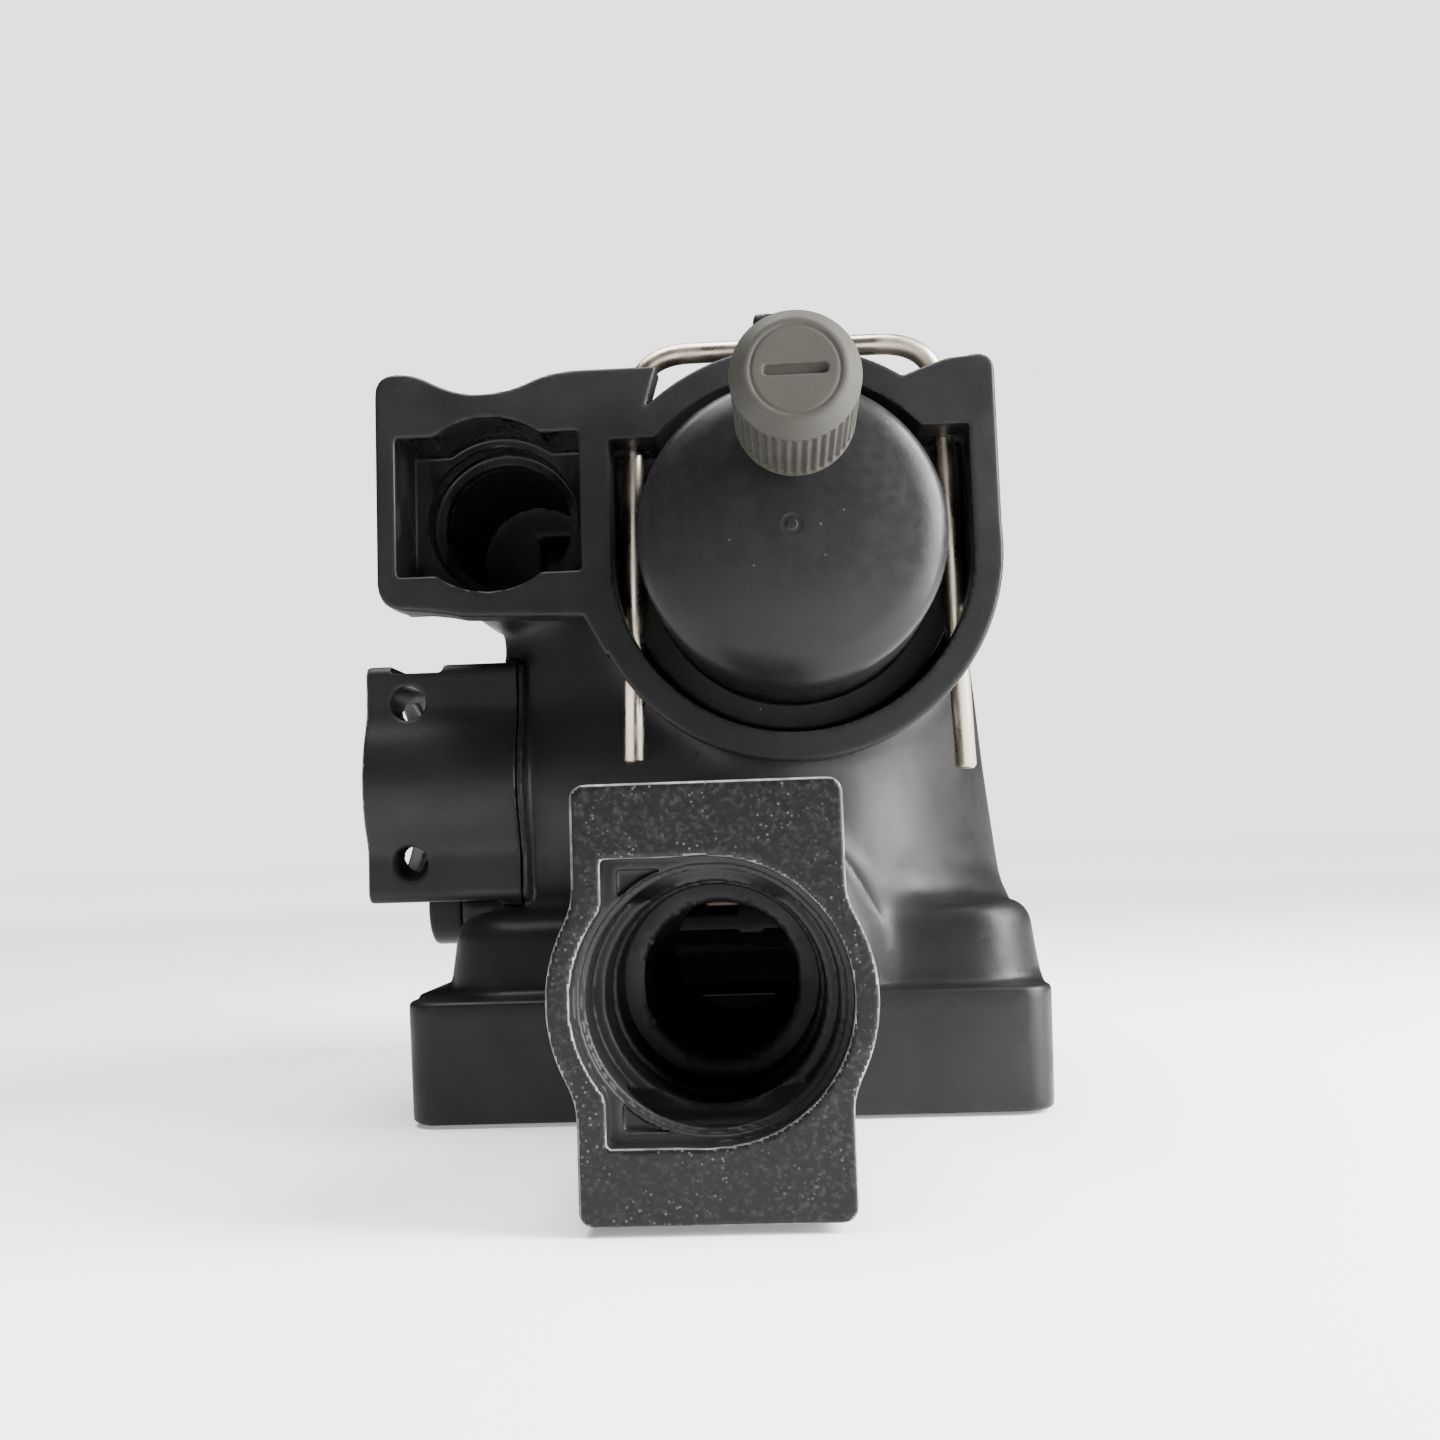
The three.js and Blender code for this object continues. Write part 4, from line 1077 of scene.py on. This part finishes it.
def cap_field(x, y, z):
    """The knurled cap: ribs with round crests, a chamfered top and one plain slot."""
    low, high = 79.5, 97.8
    a, b = x - CAP_X, z - CAP_Z
    ribs = 0.22 * np.cos(40 * np.arctan2(a, b)) - 0.22
    ribbed = np.clip((high - 2.4 + y) / 1.2, 0, 1) * np.clip((-y - low - 0.7) / 0.8, 0, 1)
    radius = np.hypot(a, b)
    side = radius - 7.48 - ribs * ribbed
    chamfer = (radius + (-y - high) * 0.72 - 5.9) / 1.23
    solid = rounded_pair(np.maximum(side, chamfer), span(-y, low, high), 0.35)
    bore = rod(x, z, -y, CAP_CENTRE, 4.0, low - 2, 96.0, 0.4)
    slot = rectangle(x, z, (CAP_X - 3.6, CAP_Z - 0.6), (CAP_X + 3.6, CAP_Z + 0.6), 0.55)
    slot = rounded_pair(slot, span(-y, high - 0.7, high + 2), 0.1)
    groove = np.maximum(np.abs(radius - 5.0) - 0.16, np.abs(-y - high) - 0.14)
    return cut(cut(cut(solid, bore, 0.2), slot, 0.2), groove, 0.1)


def cap_piece():
    box = ((CAP_X - 8, CAP_X + 8), (-98.4, -79), (CAP_Z - 8, CAP_Z + 8))
    meshed("vent_cap_knurled", cap_field, box, 0.16, 0.0,
           "vent_cap", "cap", "grey_nylon", grey_nylon)


def lever_field(x, y, z):
    """The pressed lever, with a rolled hub and holes for the float's neck and the needle."""
    bar = rectangle(x, z, (CAP_X - 3.0, VENT_Z - 4.0), (CAP_X + 3.0, LEVER_PIN_Z + 1), 1.2)
    bar = rounded_pair(bar, span(y, -62.0, -61.0), 0.18)
    pin = (LEVER_PIN_Y, LEVER_PIN_Z)
    solid = join(bar, rod(y, z, x, pin, 1.9, CAP_X - 3, CAP_X + 3, 0.2), 0.5)
    holes = nearest_of(
        rod(x, z, y, VENT_CENTRE, 2.3, -66, -57),
        rod(x, z, y, CAP_CENTRE, 1.9, -66, -57),
        rod(y, z, x, pin, 1.06, CAP_X - 9, CAP_X + 9),
    )
    return cut(solid, holes, 0.12)


def lever_piece():
    box = ((CAP_X - 4, CAP_X + 4), (-65, -58), (VENT_Z - 5, LEVER_PIN_Z + 3))
    meshed("float_lever", lever_field, box, 0.14, 0.0, "vent_lever", "lever", "steel", sheet_steel)


def vent_seal():
    turned("vent_o_ring", "Y", VENT_AXIS, ring_section(21.0, -36.6, 0.88, 16), 96,
           "vent_seal_ring", "valve", "rubber", rubber)


def cap_seal():
    """The disc in the cap that shuts the outlet."""
    points = [
        (0.0, 93.95, 0), (3.0, 93.95, 0.2), (3.1, 94.1, 0.1), (3.65, 94.1, 0.25), (3.65, 95.65, 0.25),
        (0.0, 95.65, 0),
    ]
    vent_turned("cap_seal_disc", CAP_AXIS, points, 48,
                "vent_cap_seal", "cap_seal", "rubber", rubber)


def nozzle_piece():
    """The brass lining of the outlet, with a groove round it and a chamfered mouth."""
    points = [
        (0.75, 70.2, 0.1), (1.5, 70.2, 0.3), (2.15, 71.4, 0.3), (2.15, 76.0, 0.1), (1.9, 76.3, 0.1),
        (1.9, 77.0, 0.1), (2.15, 77.3, 0.1), (2.15, 93.2, 0.4), (0.75, 93.2, 0.2),
    ]
    vent_turned("bleed_nozzle", CAP_AXIS, points, 48,
                "vent_nozzle", "valve", "brass", turned_brass)


def needle_piece():
    """The needle that closes the nozzle: a head, a collar above the lever and a blunt cone."""
    points = [
        (0.0, 59.05, 0), (2.55, 59.05, 0.25), (2.55, 59.95, 0.25), (1.18, 59.95, 0.15),
        (1.18, 63.0, 0.1), (1.75, 63.0, 0.15), (1.75, 63.95, 0.15), (1.15, 63.95, 0.1),
        (1.15, 68.6, 0.3), (0.45, 69.6, 0.25), (0.0, 69.65, 0),
    ]
    vent_turned("bleed_needle", CAP_AXIS, points, 40,
                "vent_needle", "needle", "brass", turned_brass)


def float_piece():
    """The float: a weld line round it, and a headed neck that holds the lever."""
    points = [
        (0.0, 23.9, 0), (6.0, 23.3, 1.0), (13.4, 22.1, 1.5), (16.3, 25.2, 1.5), (16.3, 37.2, 0.2),
        (16.15, 37.4, 0.1), (16.15, 37.8, 0.1), (16.3, 38.0, 0.2), (16.3, 53.0, 1.2),
        (14.2, 54.9, 0.8), (9.0, 54.9, 0.5), (8.0, 54.2, 0.5), (5.0, 54.2, 0.5), (4.0, 54.9, 0.4),
        (2.9, 55.0, 0.2), (2.9, 59.5, 0.3), (1.18, 59.6, 0.1), (1.18, 63.4, 0.1), (2.9, 63.5, 0.3),
        (2.9, 64.4, 0.3), (0.0, 64.45, 0),
    ]
    vent_turned("float_body", VENT_AXIS, points, 96,
                "vent_float", "float", "float_plastic", float_plastic)


def lever_pin():
    """The pin through the cheeks, its ends chamfered."""
    points = [
        (0.0, CAP_X - 4.55, 0), (0.75, CAP_X - 4.55, 0.1), (0.96, CAP_X - 4.3, 0.1),
        (0.96, CAP_X + 4.3, 0.1), (0.75, CAP_X + 4.55, 0.1), (0.0, CAP_X + 4.55, 0),
    ]
    turned("lever_pin", "X", (0, LEVER_PIN_Y, LEVER_PIN_Z), points, 32,
           "vent_lever_pin", "valve", "steel", stem_steel)


# ---- diverter cartridge


CARTRIDGE_HALF = 7.5
CARTRIDGE_BOX = (
    (CARTRIDGE_Y - CARTRIDGE_HALF, CARTRIDGE_Y + CARTRIDGE_HALF),
    (CARTRIDGE_Z - CARTRIDGE_HALF, CARTRIDGE_Z + CARTRIDGE_HALF),
)


def sleeve_field(x, y, z):
    """The cartridge sleeve: valve seats, a spring guide, windows and seal grooves."""
    tube = rod(y, z, x, CARTRIDGE, 6.38, -37.9, 35.9, 0.4)
    field = cut(tube, rod(y, z, x, CARTRIDGE, 4.62, -40, 38), 0.2)
    dy, dz = y - CARTRIDGE_Y, z - CARTRIDGE_Z
    for start, end in ((-10, 0.5), (4.6, 8.4), (13, 27)):
        for a, b in ((dy, dz), (dz, dy)):
            window = np.maximum(rectangle(x, b, (start, -3), (end, 3), 1.2), np.abs(a) - 9)
            field = cut(field, window, 0.15)
    across = np.hypot(dy, dz)
    for place in SLEEVE_SEALS:
        groove = np.maximum(5.5 - across, span(x, place - 1.2, place + 1.2))
        field = cut(field, groove, 0.1)
    for place, bore in ((-13.0, 1.9), (2.3, 3.2), (9.0, 3.2)):
        seat = np.maximum(rod(y, z, x, CARTRIDGE, 5.1, place, place + 1.5, 0.1), bore - across)
        field = join(field, seat, 0.2)
    return field


def sleeve_piece():
    box = ((-38.5, 36.5), *CARTRIDGE_BOX)
    meshed("cartridge_sleeve", sleeve_field, box, 0.34, 0.01,
           "diverter_sleeve", "valve", "grey_acetal", grey_acetal)


def nut_field(x, y, z):
    """The gland nut: a round head with a screwdriver slot, and its shank."""
    head = rod(y, z, x, CARTRIDGE, 6.78, -52.95, -46.95, 0.7)
    shank = rod(y, z, x, CARTRIDGE, 6.28, -50, -38.35, 0.3)
    field = join(head, shank, 0.2)
    field = cut(field, rod(y, z, x, CARTRIDGE, 1.72, -60, -30), 0.25)
    field = cut(field, rod(y, z, x, CARTRIDGE, 3.8, -41.3, -30), 0.15)
    across = np.hypot(y - CARTRIDGE_Y, z - CARTRIDGE_Z)
    field = cut(field, np.maximum(np.abs(across - 4.4) - 0.7, x + 52.4), 0.2)
    slot = np.maximum(span(z, CARTRIDGE_Z + 3, CARTRIDGE_Z + 4.4), x + 51.8)
    return cut(field, slot, 0.2)


def nut_piece():
    box = ((-53.5, -38.0), *CARTRIDGE_BOX)
    meshed("gland_nut_head", nut_field, box, 0.22, 0.01,
           "gland_nut", "valve", "black_nylon", black_nylon)


def stem_turned(name, points, *rest):
    """A piece turned about the axis that the stem slides along."""
    turned(name, "X", CARTRIDGE_AXIS, points, *rest)


def sleeve_seals():
    for index, place in enumerate(SLEEVE_SEALS, 1):
        stem_turned(f"sleeve_o_ring_{index}", ring_section(6.0, place, 0.4, 12), 64,
                    f"sleeve_seal_{index}", "valve", "rubber", rubber)


def gland_seal():
    """The lip seal that the stem slides through."""
    points = [
        (1.72, -40.95, 0.1), (3.55, -40.95, 0.2), (3.55, -38.65, 0.2), (2.9, -38.65, 0.1),
        (2.7, -39.6, 0.2), (2.3, -39.6, 0.2), (1.72, -38.7, 0.1),
    ]
    stem_turned("gland_lip_seal", points, 40, "gland_seal", "valve", "rubber", rubber)


def stem_rod():
    points = [
        (0.0, -52.9, 0), (1.0, -52.9, 0.15), (1.58, -52.2, 0.15), (1.58, 21.3, 0.1), (1.2, 21.95, 0.1),
        (0.0, 21.95, 0),
    ]
    stem_turned("stem_rod", points, 40, "diverter_stem", "stem", "steel", stem_steel)


def spring_seat():
    """The cup on the stem that the spring pushes against."""
    points = [
        (1.72, -30.0, 0.1), (3.95, -30.0, 0.2), (3.95, -28.45, 0.2), (3.75, -28.45, 0.1),
        (3.6, -28.9, 0.1), (2.4, -28.9, 0.1), (2.3, -28.45, 0.1), (1.72, -28.45, 0.1),
    ]
    stem_turned("spring_seat_cup", points, 48, "spring_seat", "stem", "brass", stem_brass)


def seal_discs():
    """The rubber discs on the stem, each of which shuts one of the valve's ways."""
    for way, place in (("heating", -8.0), ("hot_water", 10.8)):
        points = [
            (1.72, place + 0.02, 0.1), (3.4, place + 0.02, 0.3), (4.17, place + 0.5, 0.4),
            (4.17, place + 2.5, 0.4), (3.4, place + 2.98, 0.3), (1.72, place + 2.98, 0.1),
        ]
        stem_turned(f"{way}_seal_disc", points, 56, f"{way}_disc", "stem", "rubber", rubber)


def circlip_piece():
    low, high = box_mm("stem_circlip")
    start = float(low[0] - ORIGIN[0])
    end = float(high[0] - ORIGIN[0])
    points = [(1.72, start, 0.18), (2.88, start, 0.18), (2.88, end, 0.18), (1.72, end, 0.18)]
    stem_turned("stem_retainer", points, 40, "stem_circlip", "stem", "steel", stem_steel)


def spring_piece():
    """The return spring: an even coil of six turns."""
    turns, wire, radius = 6, 0.39, 3.1
    start, end = -27.7, -13.72
    steps = turns * 28
    path = []
    for i in range(steps + 1):
        share = i / steps
        angle = 2 * math.pi * turns * share
        y = CARTRIDGE_Y + radius * math.cos(angle)
        z = CARTRIDGE_Z + radius * math.sin(angle)
        path.append((start + (end - start) * share, y, z))
    spring = swept("return_coil", path, wire, 12, 0.1)
    finish_piece(spring, "return_spring", "valve", "steel", stem_steel)
    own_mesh(spring)


# ---- camera, floor and light


CAMERA_PLACE = (9.9, -252.5, 39.0)
CAMERA_YAW = 2.62  # degrees to the left
CAMERA_PITCH = 4.85  # degrees up from level
CAMERA_ROLL = -1.9
FLOOR_HALF = 4.0
FLOOR_DROP = 0.0004
NEAR_GLOW = 0.3
FAR_GLOW = 2.3
ROOM_LIGHT = 0.05
BACKDROP_LIGHT = 2.5
AIM = (0.0, 0.0, 0.055)

# Name, place, width and height, and power of each light, all in metres and watts.
LIGHTS = (
    ("softbox_front_right", (0.62, -0.4, 0.17), (0.18, 0.5), 6.5),
    ("strip_side_right", (0.42, -0.17, 0.1), (0.08, 0.3), 5.0),
    ("softbox_side_right", (0.5, -0.12, 0.4), (0.3, 0.4), 17.0),
    ("top_soft", (-0.1, -0.05, 0.7), (0.5, 0.45), 12.0),
)


def add_camera():
    """The photograph's angle: from in front, turned a little, tipped up and rolled."""
    data = bpy.data.cameras.new("camera")
    data.lens = 36.0
    data.sensor_width = 36.0
    camera = bpy.data.objects.new("camera", data)
    bpy.context.scene.collection.objects.link(camera)
    yaw = Matrix.Rotation(math.radians(CAMERA_YAW), 4, "Z")
    pitch = Matrix.Rotation(math.radians(90 + CAMERA_PITCH), 4, "X")
    roll = Matrix.Rotation(math.radians(CAMERA_ROLL), 4, "Z")
    place = (ORIGIN + Vector(CAMERA_PLACE)) * MM
    camera.matrix_world = Matrix.Translation(place) @ yaw @ pitch @ roll
    data.clip_start = 0.01
    bpy.context.scene.camera = camera


def add_light(name, place, size, power):
    data = bpy.data.lights.new(name, "AREA")
    data.shape = "RECTANGLE"
    data.size, data.size_y = size
    data.energy = power
    light = bpy.data.objects.new(name, data)
    bpy.context.scene.collection.objects.link(light)
    direction = Vector(AIM) - Vector(place)
    light.location = place
    light.rotation_euler = direction.to_track_quat("-Z", "Y").to_euler()


def add_floor():
    """A pale floor, wide enough that its edge is out of view, that brightens into the backdrop."""
    signs = ((-1, -1), (1, -1), (1, 1), (-1, 1))
    corners = np.array([(a * FLOOR_HALF, b * FLOOR_HALF, -FLOOR_DROP) for a, b in signs])
    floor = object_of("studio_floor", corners, [np.array([[0, 1, 2, 3]])])
    look = Look("studio_floor", (0.9, 0.9, 0.9), 0.7)
    look.tint(look.patches(3, 3, 0.4, 0.7), (0.88, 0.88, 0.885))
    look.height(look.noise(900, 2), 0.00005, 0.2)
    look.feed((1, 1, 1, 1), look.shader.inputs["Emission Color"])
    away = look.node("ShaderNodeVectorMath", operation="LENGTH")
    look.feed(look.place, away.inputs[0])
    glow = look.ramp(away.outputs["Value"], 0.3, 1.1, NEAR_GLOW, FAR_GLOW)
    look.feed(glow, look.shader.inputs["Emission Strength"])
    floor.data.materials.append(look.done())


def add_world():
    """A pale backdrop that the eye sees brighter than the dim room light it gives."""
    world = bpy.data.worlds.new("studio")
    world.use_nodes = True
    tree = world.node_tree
    background = tree.nodes["Background"]
    background.inputs["Color"].default_value = (1, 1, 1, 1)
    seen = tree.nodes.new("ShaderNodeMapRange")
    seen.inputs["To Min"].default_value = ROOM_LIGHT
    seen.inputs["To Max"].default_value = BACKDROP_LIGHT
    path = tree.nodes.new("ShaderNodeLightPath")
    tree.links.new(path.outputs["Is Camera Ray"], seen.inputs["Value"])
    tree.links.new(seen.outputs["Result"], background.inputs["Strength"])
    bpy.context.scene.world = world


for build in (
    flange_seal, flange_inserts, clip_piece, vent_shell, vent_outlet, lever_cheeks, cap_piece,
    lever_piece, vent_seal, cap_seal, nozzle_piece, needle_piece, float_piece, lever_pin,
    sleeve_piece, nut_piece, sleeve_seals, gland_seal, stem_rod, spring_seat, seal_discs,
    circlip_piece, spring_piece, body_pieces, add_camera, add_floor, add_world,
):
    build()
for light in LIGHTS:
    add_light(*light)
